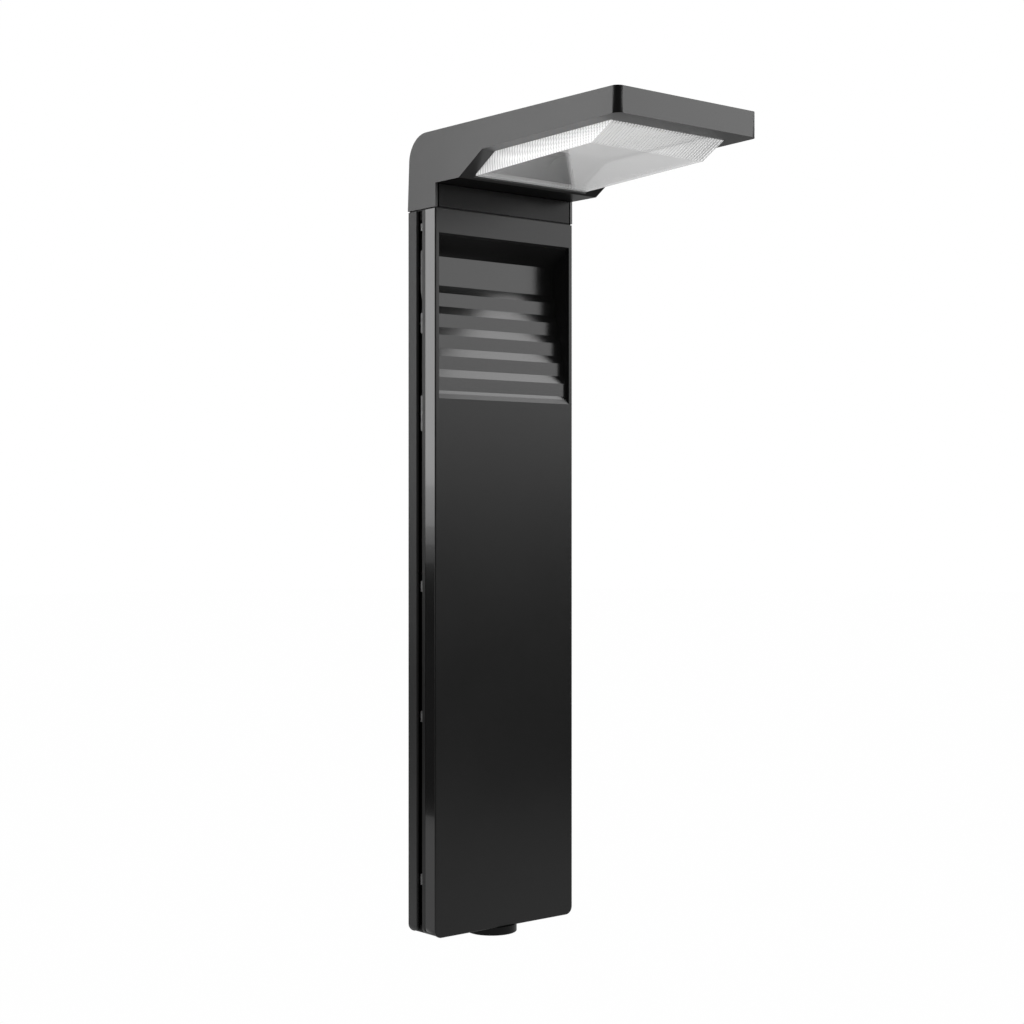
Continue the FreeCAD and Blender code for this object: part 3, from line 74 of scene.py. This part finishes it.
# %% Camera
LENS_MM = 65.51
SENSOR_MM = 36
CAMERA_PLACE = Vector((-1.342, -1.629, 0.469))
CAMERA_TURN = math.radians(-40.105)
FRAMING_SHIFT = -0.0037

camera_data = bpy.data.cameras.new("camera")
camera_data.lens = LENS_MM
camera_data.sensor_width = SENSOR_MM
camera_data.shift_y = FRAMING_SHIFT
camera = bpy.data.objects.new("camera", camera_data)
camera.location = CAMERA_PLACE
camera.rotation_euler = (math.radians(90), 0, CAMERA_TURN)
scene.collection.objects.link(camera)
scene.camera = camera
print("camera to the post:", round(CAMERA_PLACE.to_2d().length, 3), "m")

# %% [markdown]
# ## Studio
# The post stands in front of a white sweep. Satin black shows almost nothing but reflections, so
# the studio is built from what the surfaces mirror: a tall soft box behind on the left for the narrow
# side, a high soft box in front on the right for the wide face, and a panel overhead for the slanted
# steps. Two more boxes light the back and the far side.
#
# White ground and sweep are plain meshes with a glow. They could be lit white instead, but a glow is even
# and casts no noise. The sweep lights the post softly and is left out of mirror reflections, so that the
# lower half of the post stays deep black. Two dim cards, one behind and one on the ground, are what the
# post mirrors of it.

# %% Sweep, floor and cards
FLOOR_Z = CAD_BOX[0][2]
WHITE = (1.0, 1.0, 1.0, 1.0)
ROOM_GREY = (0.04, 0.04, 0.04, 1)
SWEEP_RADIUS = 9
FLOOR_SIDE = 16
FLOOR_DROP = 0.0005
CARD_DROP = 0.0002
POST_MIDDLE = (0, 0, 0.6)

scene.view_settings.view_transform = "Standard"
scene.view_settings.look = "None"
world = bpy.data.worlds.new("dark_room")
world.use_nodes = True
world.node_tree.nodes["Background"].inputs["Color"].default_value = ROOM_GREY
scene.world = world


def glow(name, strength):
    material = bpy.data.materials.new(name)
    material.use_nodes = True
    tree = material.node_tree
    tree.nodes.clear()
    shine = tree.nodes.new("ShaderNodeEmission")
    shine.inputs["Color"].default_value = WHITE
    shine.inputs["Strength"].default_value = strength
    out = tree.nodes.new("ShaderNodeOutputMaterial")
    tree.links.new(shine.outputs["Emission"], out.inputs["Surface"])
    return material


def studio_card(name, strength, size, place, towards=None, glossy=False, camera_sees=False):
    """A flat glowing card that belongs to the studio."""
    bpy.ops.object.select_all(action="DESELECT")
    bpy.ops.mesh.primitive_plane_add(size=1)
    card = bpy.context.object
    card.name = name
    card.scale = (size[0], size[1], 1)
    card.location = place
    if towards is not None:
        aim = Vector(towards) - Vector(place)
        card.rotation_euler = aim.to_track_quat("Z", "Y").to_euler()
    bpy.ops.object.transform_apply(location=True, rotation=True, scale=True)
    card.data.materials.append(glow(name, strength))
    card.visible_camera = camera_sees
    card.visible_diffuse = False
    card.visible_glossy = glossy
    card.visible_transmission = camera_sees
    card.visible_shadow = False
    return card


def soft_box(name, power, size, place, aim):
    data = bpy.data.lights.new(name, "AREA")
    data.shape = "RECTANGLE"
    data.size = size[0]
    data.size_y = size[1]
    data.energy = power
    box = bpy.data.objects.new(name, data)
    box.location = place
    box.rotation_euler = (Vector(aim) - Vector(place)).to_track_quat("-Z", "Y").to_euler()
    box.visible_camera = False
    scene.collection.objects.link(box)
    return box


bpy.ops.mesh.primitive_uv_sphere_add(segments=48, ring_count=24, radius=SWEEP_RADIUS)
sweep = bpy.context.object
sweep.name = "white_sweep"
sweep.data.materials.append(glow("sweep_white", 1.0))
sweep.visible_glossy = False
sweep.visible_shadow = False

studio_card("floor_white", 0.995, (FLOOR_SIDE, FLOOR_SIDE), (0, 0, FLOOR_Z - FLOOR_DROP), camera_sees=True)
studio_card("floor_card", 0.6, (1.25, 1.5), (0.0, 0.0, FLOOR_Z - CARD_DROP), glossy=True)
BACK_DIRECTION = Vector((0.6442, 0.7649, 0))
BACK_DISTANCE = 2.4
back_level = Vector((0, 0, 0.75))
back_place = tuple(BACK_DIRECTION * BACK_DISTANCE + back_level)
studio_card("back_card", 0.28, (3.4, 2.6), back_place, tuple(back_level), glossy=True)

# %% [markdown]
# Area lights are the soft boxes. The lower edge of the left one shows in the gloss strip, where a real
# box fades out softly. An area light has a hard edge, so three glowing strips below it step its light
# down.

# %% Soft boxes
LEFT_WIDTH = 1.3
LEFT_LEVEL = 1.745
LEFT_FADE = ((2.3, 0.42, 0.53), (1.2, 0.37, 0.42), (0.5, 0.32, 0.37))
LEFT_BOX = Vector((-2.29, 2.01, 0))
left_place = tuple(LEFT_BOX + Vector((0, 0, LEFT_LEVEL)))
soft_box("left_box", 33.6, (LEFT_WIDTH, 2.43), left_place, (0, 0, LEFT_LEVEL))
for number, (strength, low, high) in enumerate(LEFT_FADE):
    level = (low + high) / 2
    centre = tuple(LEFT_BOX + Vector((0, 0, level)))
    studio_card(f"left_fade_{number}", strength, (LEFT_WIDTH, high - low), centre, (0, 0, level), glossy=True)
soft_box("right_box", 29, (2.2, 1.6), (1.9, -2.2, 1.38), POST_MIDDLE)
soft_box("top_box", 36, (1.6, 1.6), (1.6, -0.6, 2.6), (0, 0, 0.7))
soft_box("rear_box", 34, (2.6, 2.0), (1.0, 3.4, 1.5), POST_MIDDLE)
soft_box("far_side_box", 30, (2.2, 2.0), (3.2, 1.0, 1.5), POST_MIDDLE)

# %% [markdown]
# ## A bench for finishes
# A finish is a network of shader nodes. Writing it as sums in Python keeps it readable: `Wire` wraps the
# output of a node, and adding or multiplying wires places the Math nodes. Any other node comes from
# `Bench.node`.

# %% Wire and Bench


class Wire:
    """A node's output that can take part in sums."""

    def __init__(self, bench, socket):
        self.bench = bench
        self.socket = socket

    def __add__(self, other):
        return self.bench.math("ADD", self, other)

    def __radd__(self, other):
        return self.bench.math("ADD", other, self)

    def __sub__(self, other):
        return self.bench.math("SUBTRACT", self, other)

    def __rsub__(self, other):
        return self.bench.math("SUBTRACT", other, self)

    def __mul__(self, other):
        return self.bench.math("MULTIPLY", self, other)

    def __rmul__(self, other):
        return self.bench.math("MULTIPLY", other, self)


class Bench:
    """One material with a Principled shader, and the nodes that feed it."""

    def __init__(self, name, **constants):
        self.material = bpy.data.materials.new(name)
        self.material.use_nodes = True
        self.tree = self.material.node_tree
        self.shader = self.tree.nodes["Principled BSDF"]
        self.set(**constants)

    def node(self, kind, settings=None, inputs=None, output=0):
        made = self.tree.nodes.new(kind)
        for key, value in (settings or {}).items():
            if key == "stops":
                self.set_stops(made.color_ramp, value)
            else:
                setattr(made, key, value)
        for key, value in (inputs or {}).items():
            self.feed(made.inputs[key], value)
        return Wire(self, made.outputs[output])

    def set_stops(self, ramp, stops):
        while len(ramp.elements) < len(stops):
            ramp.elements.new(0.5)
        for element, (position, grey) in zip(ramp.elements, stops):
            element.position = position
            element.color = (grey, grey, grey, 1)

    def feed(self, socket, value):
        if isinstance(value, Wire):
            self.tree.links.new(value.socket, socket)
        else:
            socket.default_value = value

    def set(self, **constants):
        for key, value in constants.items():
            self.feed(self.shader.inputs[key.replace("_", " ")], value)

    def place(self):
        return self.node("ShaderNodeTexCoord", output="Object")

    def math(self, operation, first, second=0.0):
        return self.node("ShaderNodeMath", {"operation": operation}, {0: first, 1: second})

    def split(self, vector):
        parted = self.node("ShaderNodeSeparateXYZ", None, {0: vector})
        return [Wire(self, socket) for socket in parted.socket.node.outputs]

    def stretched(self, scale):
        return self.node("ShaderNodeMapping", None, {"Vector": self.place(), "Scale": scale})

    def noise(self, scale, detail=2.0, vector=None):
        """Cloudy pattern, from 0 to 1, with about that many blots to the metre."""
        inputs = {"Vector": vector or self.place(), "Scale": scale, "Detail": detail}
        return self.node("ShaderNodeTexNoise", None, inputs)

    def steps(self, value, *stops):
        return self.node("ShaderNodeValToRGB", {"stops": stops}, {"Fac": value})

    def blend(self, factor, first, second):
        settings = {"data_type": "RGBA"}
        return self.node("ShaderNodeMix", settings, {0: factor, 6: first, 7: second}, output=2)

    def relief(self, height, depth, strength=1.0):
        bump = self.node("ShaderNodeBump", None, {"Height": height, "Distance": depth, "Strength": strength})
        self.set(Normal=bump)


def grey(level):
    return (level, level, level, 1)


# %% [markdown]
# ## Satin black powder coat
# Cast and extruded aluminium is coated with a dark graphite powder that melts into a satin film. The film
# flows before it sets, which leaves a faint orange peel about a millimetre across, and its gloss drifts a
# little over a long profile. It could be one even black, but then the wide faces look like paint on
# glass. Colour and roughness drift with a slow noise, and two fine noises give the skin its relief. The
# front shell, rear shell, neck plate, head and recess insert each have their own mix of gloss and black.

# %% Satin black powder coat


def powder_coat(name, roughness, colour, ior):
    bench = Bench(name, IOR=ior)
    drift = bench.noise(9.0, 3.0)
    peel = bench.noise(900.0, 1.0)
    grain = bench.noise(3200.0, 2.0)
    bench.set(Base_Color=bench.blend(drift, grey(colour * 0.8), grey(colour * 1.25)))
    bench.set(Roughness=roughness - 0.03 + 0.05 * drift + 0.02 * grain)
    bench.relief(peel * 0.6 + grain * 0.4, 0.06 * MM)
    return bench.material


SATIN = powder_coat("satin_black_coat", 0.31, 0.004, 1.40)
SATIN_REAR = powder_coat("satin_black_rear", 0.35, 0.012, 1.42)
# A darker, less glossy copy for the neck plate and the hub; on the neck plate it is painted shade for the
# shade under the head.
SATIN_SHADED = powder_coat("satin_black_painted_shade", 0.30, 0.002, 1.26)
SATIN_CAST = powder_coat("satin_black_cast", 0.33, 0.002, 1.62)
SATIN_INSERT = powder_coat("satin_black_insert", 0.20, 0.005, 1.48)
print("coats:", [coat.name for coat in (SATIN, SATIN_REAR, SATIN_SHADED, SATIN_CAST, SATIN_INSERT)])

# %% [markdown]
# ## Gloss strip
# The strip let into each side is polished: it mirrors the soft box as a clear bright band. It could be one
# plain gloss black, but that looks like glass, so it has a trace of wave and a few faint wiping marks.

# %% Gloss strip


def gloss_strip():
    bench = Bench("gloss_black_strip", Coat_Weight=0.4, Coat_Roughness=0.02)
    wave = bench.noise(14.0, 1.0)
    wipe = bench.noise(60.0, 3.0, bench.stretched((6.0, 6.0, 0.35)))
    bench.set(Base_Color=bench.blend(wave, grey(0.003), grey(0.005)))
    bench.set(Roughness=0.09 + 0.04 * wipe)
    bench.relief(wave, 0.02 * MM)
    return bench.material


GLOSS = gloss_strip()
print("strip finish:", GLOSS.name)

# %% [markdown]
# ## Rubber, metal and plastic inside
# The pieces inside are seen through the shadow gap, through the lens or when the post is taken apart. Each
# could be one flat colour, but then metal and plastic look alike close up, so each has the marks that its
# making leaves: a spangle on zinc-plated screws, die lines on extruded aluminium, a fine grain on moulded
# plastics, pale tracks on the white circuit board.

# %% Finishes inside


def rubber(name, colour):
    bench = Bench(name)
    bloom = bench.noise(120.0, 3.0)
    grain = bench.noise(2500.0, 1.0)
    bench.set(Base_Color=bench.blend(bloom, grey(colour), grey(colour * 1.8)))
    bench.set(Roughness=0.62 + 0.15 * bloom)
    bench.relief(grain, 0.08 * MM)
    return bench.material


def zinc_plate():
    bench = Bench("zinc_plate", Metallic=1.0)
    spangle = bench.node("ShaderNodeTexVoronoi", None, {"Vector": bench.place(), "Scale": 700.0}, "Color")
    mottle = bench.noise(260.0, 2.0)
    tint = bench.blend(mottle, (0.60, 0.62, 0.64, 1), (0.74, 0.74, 0.72, 1))
    bench.set(Base_Color=bench.blend(0.08, tint, spangle))
    bench.set(Roughness=0.26 + 0.14 * mottle)
    bench.relief(mottle, 0.03 * MM)
    return bench.material


def extruded_aluminium():
    bench = Bench("mill_aluminium", Metallic=1.0)
    lines = bench.noise(900.0, 3.0, bench.stretched((1.0, 1.0, 0.01)))
    cloud = bench.noise(30.0, 2.0)
    bench.set(Base_Color=bench.blend(lines, (0.62, 0.63, 0.64, 1), (0.78, 0.78, 0.79, 1)))
    bench.set(Roughness=0.30 + 0.10 * lines + 0.06 * cloud)
    bench.relief(lines, 0.03 * MM)
    return bench.material


def dark_metal(name, colour, roughness):
    bench = Bench(name, Metallic=1.0)
    lines = bench.noise(700.0, 3.0, bench.stretched((1.0, 1.0, 0.02)))
    stain = bench.noise(150.0, 3.0)
    bench.set(Base_Color=bench.blend(stain, grey(colour * 0.7), grey(colour * 1.3)))
    bench.set(Roughness=roughness + 0.12 * lines)
    bench.relief(lines, 0.02 * MM)
    return bench.material


def moulded_plastic(name, colour, roughness):
    bench = Bench(name)
    cloud = bench.noise(40.0, 2.0)
    spark = bench.noise(1800.0, 2.0)
    darker = (colour[0] * 0.93, colour[1] * 0.93, colour[2] * 0.93, 1)
    bench.set(Base_Color=bench.blend(cloud, darker, colour))
    bench.set(Roughness=roughness + 0.08 * spark)
    bench.relief(spark, 0.05 * MM)
    return bench.material


def circuit_board():
    bench = Bench("circuit_board")
    settings = {"offset": 0.5, "squash": 1.0}
    inputs = {
        "Vector": bench.place(),
        "Scale": 60.0,
        "Mortar Size": 0.03,
        "Brick Width": 0.9,
        "Row Height": 0.4,
    }
    tracks = bench.node("ShaderNodeTexBrick", settings, inputs, "Fac")
    cloud = bench.noise(80.0, 2.0)
    mask = bench.blend(cloud, (0.80, 0.83, 0.82, 1), (0.86, 0.88, 0.87, 1))
    bench.set(Base_Color=bench.blend(tracks, mask, (0.62, 0.66, 0.62, 1)))
    bench.set(Roughness=0.32 + 0.1 * cloud)
    bench.relief(tracks, 0.04 * MM)
    return bench.material


def phosphor():
    bench = Bench("phosphor_dome", Coat_Weight=0.6)
    grain = bench.noise(4000.0, 2.0)
    bench.set(Base_Color=bench.blend(grain, (0.83, 0.62, 0.10, 1), (0.95, 0.80, 0.28, 1)))
    bench.set(Roughness=0.35 + 0.2 * grain)
    bench.relief(grain, 0.03 * MM)
    return bench.material


RUBBER = rubber("rubber_black", 0.008)
SHEATH = rubber("lead_sheath", 0.012)
ZINC = zinc_plate()
MILL = extruded_aluminium()
BLACK_ANODISED = dark_metal("black_anodised", 0.008, 0.45)
DULL_STEEL = dark_metal("dull_steel", 0.30, 0.42)
WHITE_PLASTIC = moulded_plastic("white_plastic", (0.84, 0.84, 0.83, 1), 0.42)
GREY_PLASTIC = moulded_plastic("grey_plastic", (0.24, 0.25, 0.26, 1), 0.48)
BOARD = circuit_board()
PHOSPHOR = phosphor()

FINISHES = {
    SATIN: "front_shell",
    SATIN_REAR: "rear_shell",
    SATIN_SHADED: "neck_plate base_hub",
    SATIN_INSERT: "recess_baffle",
    SATIN_CAST: "head_housing",
    GLOSS: "left_trim right_trim",
    RUBBER: "joint_gasket lens_gasket inlet_grommet lead_gland",
    SHEATH: "head_lead driver_lead surge_lead",
    ZINC: "rear_shell_screws baffle_nuts pad_screws spacer_screws rail_screws "
    "hub_screws tray_screws driver_screws earth_terminal earth_nut head_bolts neck_plate_screws "
    "lens_clamps lens_clamp_screws heat_plate_screws board_screws",
    MILL: "heat_plate gear_tray",
    BLACK_ANODISED: "left_rail right_rail base_plate column_cap",
    DULL_STEEL: "gap_spacers baffle_pads",
    WHITE_PLASTIC: "reflector_tray led_driver board_connector",
    GREY_PLASTIC: "surge_protector terminal_block lead_clips",
    BOARD: "led_board",
    PHOSPHOR: "led_emitters",
}
for finish, names in FINISHES.items():
    for name in names.split():
        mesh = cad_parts[name].data
        mesh.materials.clear()
        mesh.materials.append(finish)
print("finished nodes:", sum(len(names.split()) for names in FINISHES.values()))

# %% [markdown]
# ## Softened edges
# A coated casting never has a knife edge: every corner is broken by a fraction of a millimetre and
# catches a thin line of light. Shader bevels don't survive an export, so this is real geometry. The CAD
# meshes come as loose triangles, so they are welded first, and then a narrow bevel follows each edge that
# turns sharply.

# %% Soften the edges of the visible castings
SHARP = math.radians(35)
WELD_GAP = 0.01 * MM


def soften(name, width):
    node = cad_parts[name]
    weld = node.modifiers.new("weld", "WELD")
    weld.merge_threshold = WELD_GAP
    bevel = node.modifiers.new("soft_edges", "BEVEL")
    bevel.width = width
    bevel.segments = 2
    bevel.limit_method = "ANGLE"
    bevel.angle_limit = SHARP
    bevel.harden_normals = True


for name in ("front_shell", "rear_shell", "neck_plate"):
    soften(name, 0.3 * MM)
soften("head_housing", 0.8 * MM)
for name in ("left_trim", "right_trim"):
    soften(name, 0.5 * MM)
print("softened:", [name for name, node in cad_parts.items() if "soft_edges" in node.modifiers])

# %% [markdown]
# ## The lens
# The lamp is closed by a clear moulded bowl. Upright prisms run round its walls and spread the light; its
# floor is smooth and slopes down towards the column. On the real mould the prisms are cut one by one.
# They could be a bump pattern, but their zigzag outline shows against the light, so they are real here: a
# block is shaped into the bowl, its walls are split into narrow columns, every second column line is
# pushed outwards, and the open skin is given its wall thickness.

# %% Sizes of the bowl
LENS_LOW, LENS_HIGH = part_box("lens")
FLANGE_SIDE = 7.6 * MM
FLANGE_END = 8.6 * MM
FLUTE_PITCH = 4.1 * MM
FLUTE_DEPTH = 0.6 * MM
SIDE_GAP = 1.0 * MM
FRONT_RUN = 30 * MM
FRONT_FOOT_RISE = 8.5 * MM
FRONT_TOP_RISE = 26.1 * MM
NEAR = 0.01 * MM

bowl_half = LENS_HIGH[0] - FLANGE_SIDE - FLUTE_DEPTH - SIDE_GAP
bowl_front = LENS_LOW[1] + FLANGE_END + FLUTE_DEPTH
bowl_rear = LENS_HIGH[1] - FLANGE_END - FLUTE_DEPTH
bowl_low = LENS_LOW[2]
bowl_top = bowl_low + FRONT_TOP_RISE
fold_y = bowl_front + FRONT_RUN
print("bowl, in mm:", [round(v / MM, 1) for v in (2 * bowl_half, bowl_rear - bowl_front, FRONT_TOP_RISE)])

# %% [markdown]
# Edit mode works on what is selected. By hand one would click, so these helpers click by place: they
# select the vertices or edges that pass a test and say how many they found.

# %% Helpers that select by place


def pick(mesh_object, test):
    """Selects the vertices whose place passes the test, in edit mode, and counts them."""
    bpy.ops.mesh.select_mode(type="VERT")
    bpy.ops.mesh.select_all(action="DESELECT")
    edit = bmesh.from_edit_mesh(mesh_object.data)
    for vertex in edit.verts:
        vertex.select = bool(test(vertex.co))
    edit.select_flush(True)
    bmesh.update_edit_mesh(mesh_object.data)
    return sum(vertex.select for vertex in edit.verts)


def pick_edges(mesh_object, test):
    """Selects the edges whose two ends pass the test, in edit mode, and counts them."""
    bpy.ops.mesh.select_mode(type="EDGE")
    bpy.ops.mesh.select_all(action="DESELECT")
    edit = bmesh.from_edit_mesh(mesh_object.data)
    for edge in edit.edges:
        edge.select = bool(test(edge.verts[0].co, edge.verts[1].co))
    bmesh.update_edit_mesh(mesh_object.data)
    return sum(edge.select for edge in edit.edges)


def pick_rim(mesh_object):
    """Selects the open edges round the top, in edit mode, and counts them."""
    bpy.ops.mesh.select_mode(type="EDGE")
    bpy.ops.mesh.select_all(action="DESELECT")
    edit = bmesh.from_edit_mesh(mesh_object.data)
    for edge in edit.edges:
        edge.select = edge.is_boundary
    bmesh.update_edit_mesh(mesh_object.data)
    return sum(edge.select for edge in edit.edges)


# %% Bowl block
bpy.ops.object.select_all(action="DESELECT")
bpy.ops.mesh.primitive_cube_add(size=1)
lens = bpy.context.object
lens.name = "fluted_lens"
lens.scale = (2 * bowl_half, bowl_rear - bowl_front, FRONT_TOP_RISE)
lens.location = (0, (bowl_front + bowl_rear) / 2, bowl_low + FRONT_TOP_RISE / 2)
bpy.ops.object.transform_apply(location=True, rotation=True, scale=True)
bpy.ops.object.mode_set(mode="EDIT")
pick(lens, lambda at: at.z > bowl_low + NEAR)
bpy.ops.mesh.delete(type="ONLY_FACE")
pick(lens, lambda at: at.z < bowl_low + NEAR and at.y < bowl_front + NEAR)
bpy.ops.transform.translate(value=(0, FRONT_RUN, FRONT_FOOT_RISE))
bpy.ops.object.mode_set(mode="OBJECT")
print("bowl block:", [round(v / MM, 1) for v in lens.dimensions], "faces", len(lens.data.polygons))

# %% [markdown]
# The side walls are quads between a floor edge and a rim edge. Splitting both edges of both side walls
# into the same number of parts lays columns across the walls and ribs across the floor. The front slope
# and the rear wall are split the other way.

# %% Columns in the walls
side_columns = 2 * round((bowl_rear - fold_y) / FLUTE_PITCH)
front_columns = 2 * round(2 * bowl_half / FLUTE_PITCH)
bpy.ops.object.mode_set(mode="EDIT")
along = pick_edges(lens, lambda a, b: abs(a.x - b.x) < NEAR and abs(a.y - b.y) > FRONT_RUN + NEAR)
bpy.ops.mesh.subdivide(number_cuts=side_columns - 1)
across = pick_edges(lens, lambda a, b: abs(a.x - b.x) > bowl_half)
bpy.ops.mesh.subdivide(number_cuts=front_columns - 1)
bpy.ops.object.mode_set(mode="OBJECT")
print("columns:", side_columns, front_columns, "edges", along, across, "faces", len(lens.data.polygons))

# %% [markdown]
# Every second column line moves outwards by the depth of a flute: sideways on the side walls, backwards
# on the rear wall, and square to the slope on the front.

# %% Push out every second column line


def odd(place, start, pitch):
    return round((place - start) / pitch) % 2 == 1


side_pitch_low = (bowl_rear - fold_y) / side_columns
side_pitch_top = (bowl_rear - bowl_front) / side_columns
front_pitch = 2 * bowl_half / front_columns


def side_crest(at, side):
    if abs(at.x - side * bowl_half) > NEAR:
        return False
    if at.z > bowl_top - NEAR:
        return odd(at.y, bowl_front, side_pitch_top)
    return odd(at.y, fold_y, side_pitch_low)


bpy.ops.object.mode_set(mode="EDIT")
for side in (-1, 1):
    moved = pick(lens, lambda at: side_crest(at, side))
    bpy.ops.transform.translate(value=(side * FLUTE_DEPTH, 0, 0))
    print("side wall crests:", moved)
slope = Vector((0, FRONT_FOOT_RISE - FRONT_TOP_RISE, -FRONT_RUN)).normalized() * FLUTE_DEPTH
moved = pick(
    lens,
    lambda at: odd(at.x, -bowl_half, front_pitch)
    and abs(at.x) < bowl_half - NEAR
    and (at.y < bowl_front + NEAR or abs(at.y - fold_y) < NEAR and at.z < bowl_top - NEAR),
)
bpy.ops.transform.translate(value=slope)
print("front slope crests:", moved)
moved = pick(lens, lambda at: odd(at.x, -bowl_half, front_pitch) and at.y > bowl_rear - NEAR)
bpy.ops.transform.translate(value=(0, FLUTE_DEPTH, 0))
print("rear wall crests:", moved)
bpy.ops.object.mode_set(mode="OBJECT")

# %% [markdown]
# The rim goes straight up into the housing, is trimmed parallel to the underside of the casting, slab
# first and then the slanted stretch, and is folded out into the flange that the clamps press on the
# gasket. Last, the skin gets its thickness.

# %% Rim, flange and wall thickness
RIM_LIFT = 9 * MM
SHELL = 2.2 * MM
SEAT_LIFT = 5.05 * MM
NOSE_HEIGHT = 27 * MM
BEND_Y = -105 * MM
BEND_DROP = 5.5 * MM
SHELF_Y = -65.5 * MM
SHELF_RISE = 25.8 * MM
HEAD_LOW, HEAD_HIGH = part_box("head_housing")
nose_edge = HEAD_HIGH[2] - NOSE_HEIGHT
bend = Vector((0, BEND_Y, nose_edge - BEND_DROP + SEAT_LIFT))
shelf = Vector((0, SHELF_Y, HEAD_LOW[2] + SHELF_RISE + SEAT_LIFT))
nose = Vector((0, HEAD_LOW[1], nose_edge + SEAT_LIFT))
middle = Vector((0, (bowl_front + bowl_rear) / 2, bowl_top))

bpy.ops.object.mode_set(mode="EDIT")
rim = pick_rim(lens)
bpy.ops.mesh.extrude_edges_move(TRANSFORM_OT_translate={"value": (0, 0, RIM_LIFT)})
for start, end in ((nose, bend), (bend, shelf)):
    along = end - start
    bpy.ops.mesh.select_all(action="SELECT")
    bpy.ops.mesh.bisect(plane_co=start, plane_no=(0, -along.z, along.y), clear_outer=True, threshold=NEAR)
trimmed = pick_rim(lens)
bpy.ops.mesh.extrude_edges_move()
widen = (LENS_HIGH[0] - NEAR) / (bowl_half + FLUTE_DEPTH)
lengthen = (LENS_HIGH[1] - LENS_LOW[1] - 2 * NEAR) / (bowl_rear - bowl_front + 2 * FLUTE_DEPTH)
bpy.ops.transform.resize(value=(widen, lengthen, 1), center_override=middle)
bpy.ops.mesh.select_all(action="SELECT")
bpy.ops.mesh.remove_doubles(threshold=NEAR)
bpy.ops.mesh.normals_make_consistent(inside=True)
bpy.ops.object.mode_set(mode="OBJECT")
thicken = lens.modifiers.new("thicken", "SOLIDIFY")
thicken.thickness = SHELL
thicken.offset = -1
bpy.ops.object.modifier_apply(modifier="thicken")
print("rim edges:", rim, trimmed, "faces", len(lens.data.polygons))
print("lens z:", [round(f(v.co.z for v in lens.data.vertices) / MM, 2) for f in (min, max)])

# %% [markdown]
# ## Clear lens
# Moulded polycarbonate: clear with a trace of haze, glossy, lined where two prisms meet. Real refraction
# through two skins of prisms renders slowly and noisily, so the lens is a partly opaque white instead,
# with a weak painted glow, brighter on the side walls, that stands in for the light the prisms pass on;
# the lens is no lamp. Dark lines of painted shade follow the real flutes along each wall and are stronger
# towards one end of the front slope, with a row of painted shadows along its top edge, and the flange is
# painted dark as the shade under the housing. Over the floor a painted shade changes along a slanted line,
# where the edge of the tray and the dark housing would show through. A fine ripple in the surface breaks
# up the reflections.

# %% Clear lens
LENS_PAINTED_GLOW = 0.35
TRAY_EDGE_POINT = (-0.078, -0.212)
TRAY_EDGE_ACROSS = (-0.717, 0.697)


def clear_lens():
    bench = Bench("clear_prismatic_lens", IOR=1.58, Coat_Weight=1.0, Coat_Roughness=0.08)
    # Painted light: the lens is no lamp, yet it is given a glow.
    bench.set(Emission_Strength=LENS_PAINTED_GLOW)
    x_place, y_place, _ = bench.split(bench.place())
    x_turn, y_turn, z_turn = bench.split(bench.node("ShaderNodeNewGeometry", output="True Normal"))
    side_wall = bench.steps(bench.math("ABSOLUTE", x_turn), (0.55, 0.0), (0.70, 1.0))
    floor = bench.steps(bench.math("ABSOLUTE", z_turn), (0.93, 0.0), (0.985, 1.0))
    across_line = bench.math("PINGPONG", x_place, FLUTE_PITCH / 2)
    along_line = bench.math("PINGPONG", y_place, FLUTE_PITCH / 2)
    line = (across_line + side_wall * (along_line - across_line)) * (2 / FLUTE_PITCH)
    groove = bench.steps(line, (0.08, 1.0), (0.50, 0.0))
    rear_wall = bench.steps(y_turn, (0.55, 0.0), (0.70, 1.0))
    # Painted shade: the flute lines are dark colour, darker towards the +x end of the front slope, with a row
    # of painted tooth shadows along its top edge.
    far_end_shade = bench.steps(x_place * 5.0 + 0.5, (0.50, 0.10), (0.86, 1.0))
    painted_tooth_shadow = bench.steps((y_place - bowl_front) * 200.0, (0.30, 0.9), (0.65, 0.0))
    front = bench.math("MAXIMUM", far_end_shade, painted_tooth_shadow)
    strength = front + side_wall * (0.5 - front) + rear_wall * (1.0 - front)
    beyond_side = bench.math("ABSOLUTE", x_place) - (bowl_half + FLUTE_DEPTH)
    beyond_end = bench.math("ABSOLUTE", y_place - middle.y) - (bowl_rear - middle.y + FLUTE_DEPTH)
    # Painted shade: the flange is painted black where it sits in the shade of the housing.
    flange = bench.steps(bench.math("MAXIMUM", beyond_side, beyond_end) * 1000.0, (0.05, 0.0), (0.15, 1.0))
    painted_shade = bench.math("MAXIMUM", groove * strength * (1.0 - 0.75 * floor), flange)
    ripple = bench.noise(220.0, 2.0)
    # Painted shade on the lens floor: darkest just behind a slanted line where the tray's edge would show,
    # lighter further back.
    across_x = TRAY_EDGE_ACROSS[0] * (x_place - TRAY_EDGE_POINT[0])
    painted_tray_shade = TRAY_EDGE_ACROSS[1] * (y_place - TRAY_EDGE_POINT[1]) + across_x
    floor_haze_and_shade = bench.steps(painted_tray_shade * 5.0 + 0.5, (0.475, 0.60), (0.51, 0.20), (0.90, 0.40))
    wall_haze = 0.40 + 0.42 * side_wall
    bench.set(Base_Color=bench.blend(painted_shade, (0.97, 0.97, 0.97, 1), (0.03, 0.03, 0.03, 1)))
    # Painted glow: brighter on the side walls, and dark along the painted shade lines.
    glow = bench.blend(side_wall, grey(0.12), grey(0.9))
    bench.set(Emission_Color=bench.blend(painted_shade, glow, grey(0.02)))
    bench.set(Roughness=0.10 + 0.08 * ripple)
    bench.set(Alpha=wall_haze + floor * (floor_haze_and_shade - wall_haze) + 0.3 * painted_shade)
    bench.relief(ripple, 0.01 * MM)
    return bench.material


lens.data.materials.append(clear_lens())
print("lens finish:", lens.data.materials[0].name)

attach(lens, "root")
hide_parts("lens")
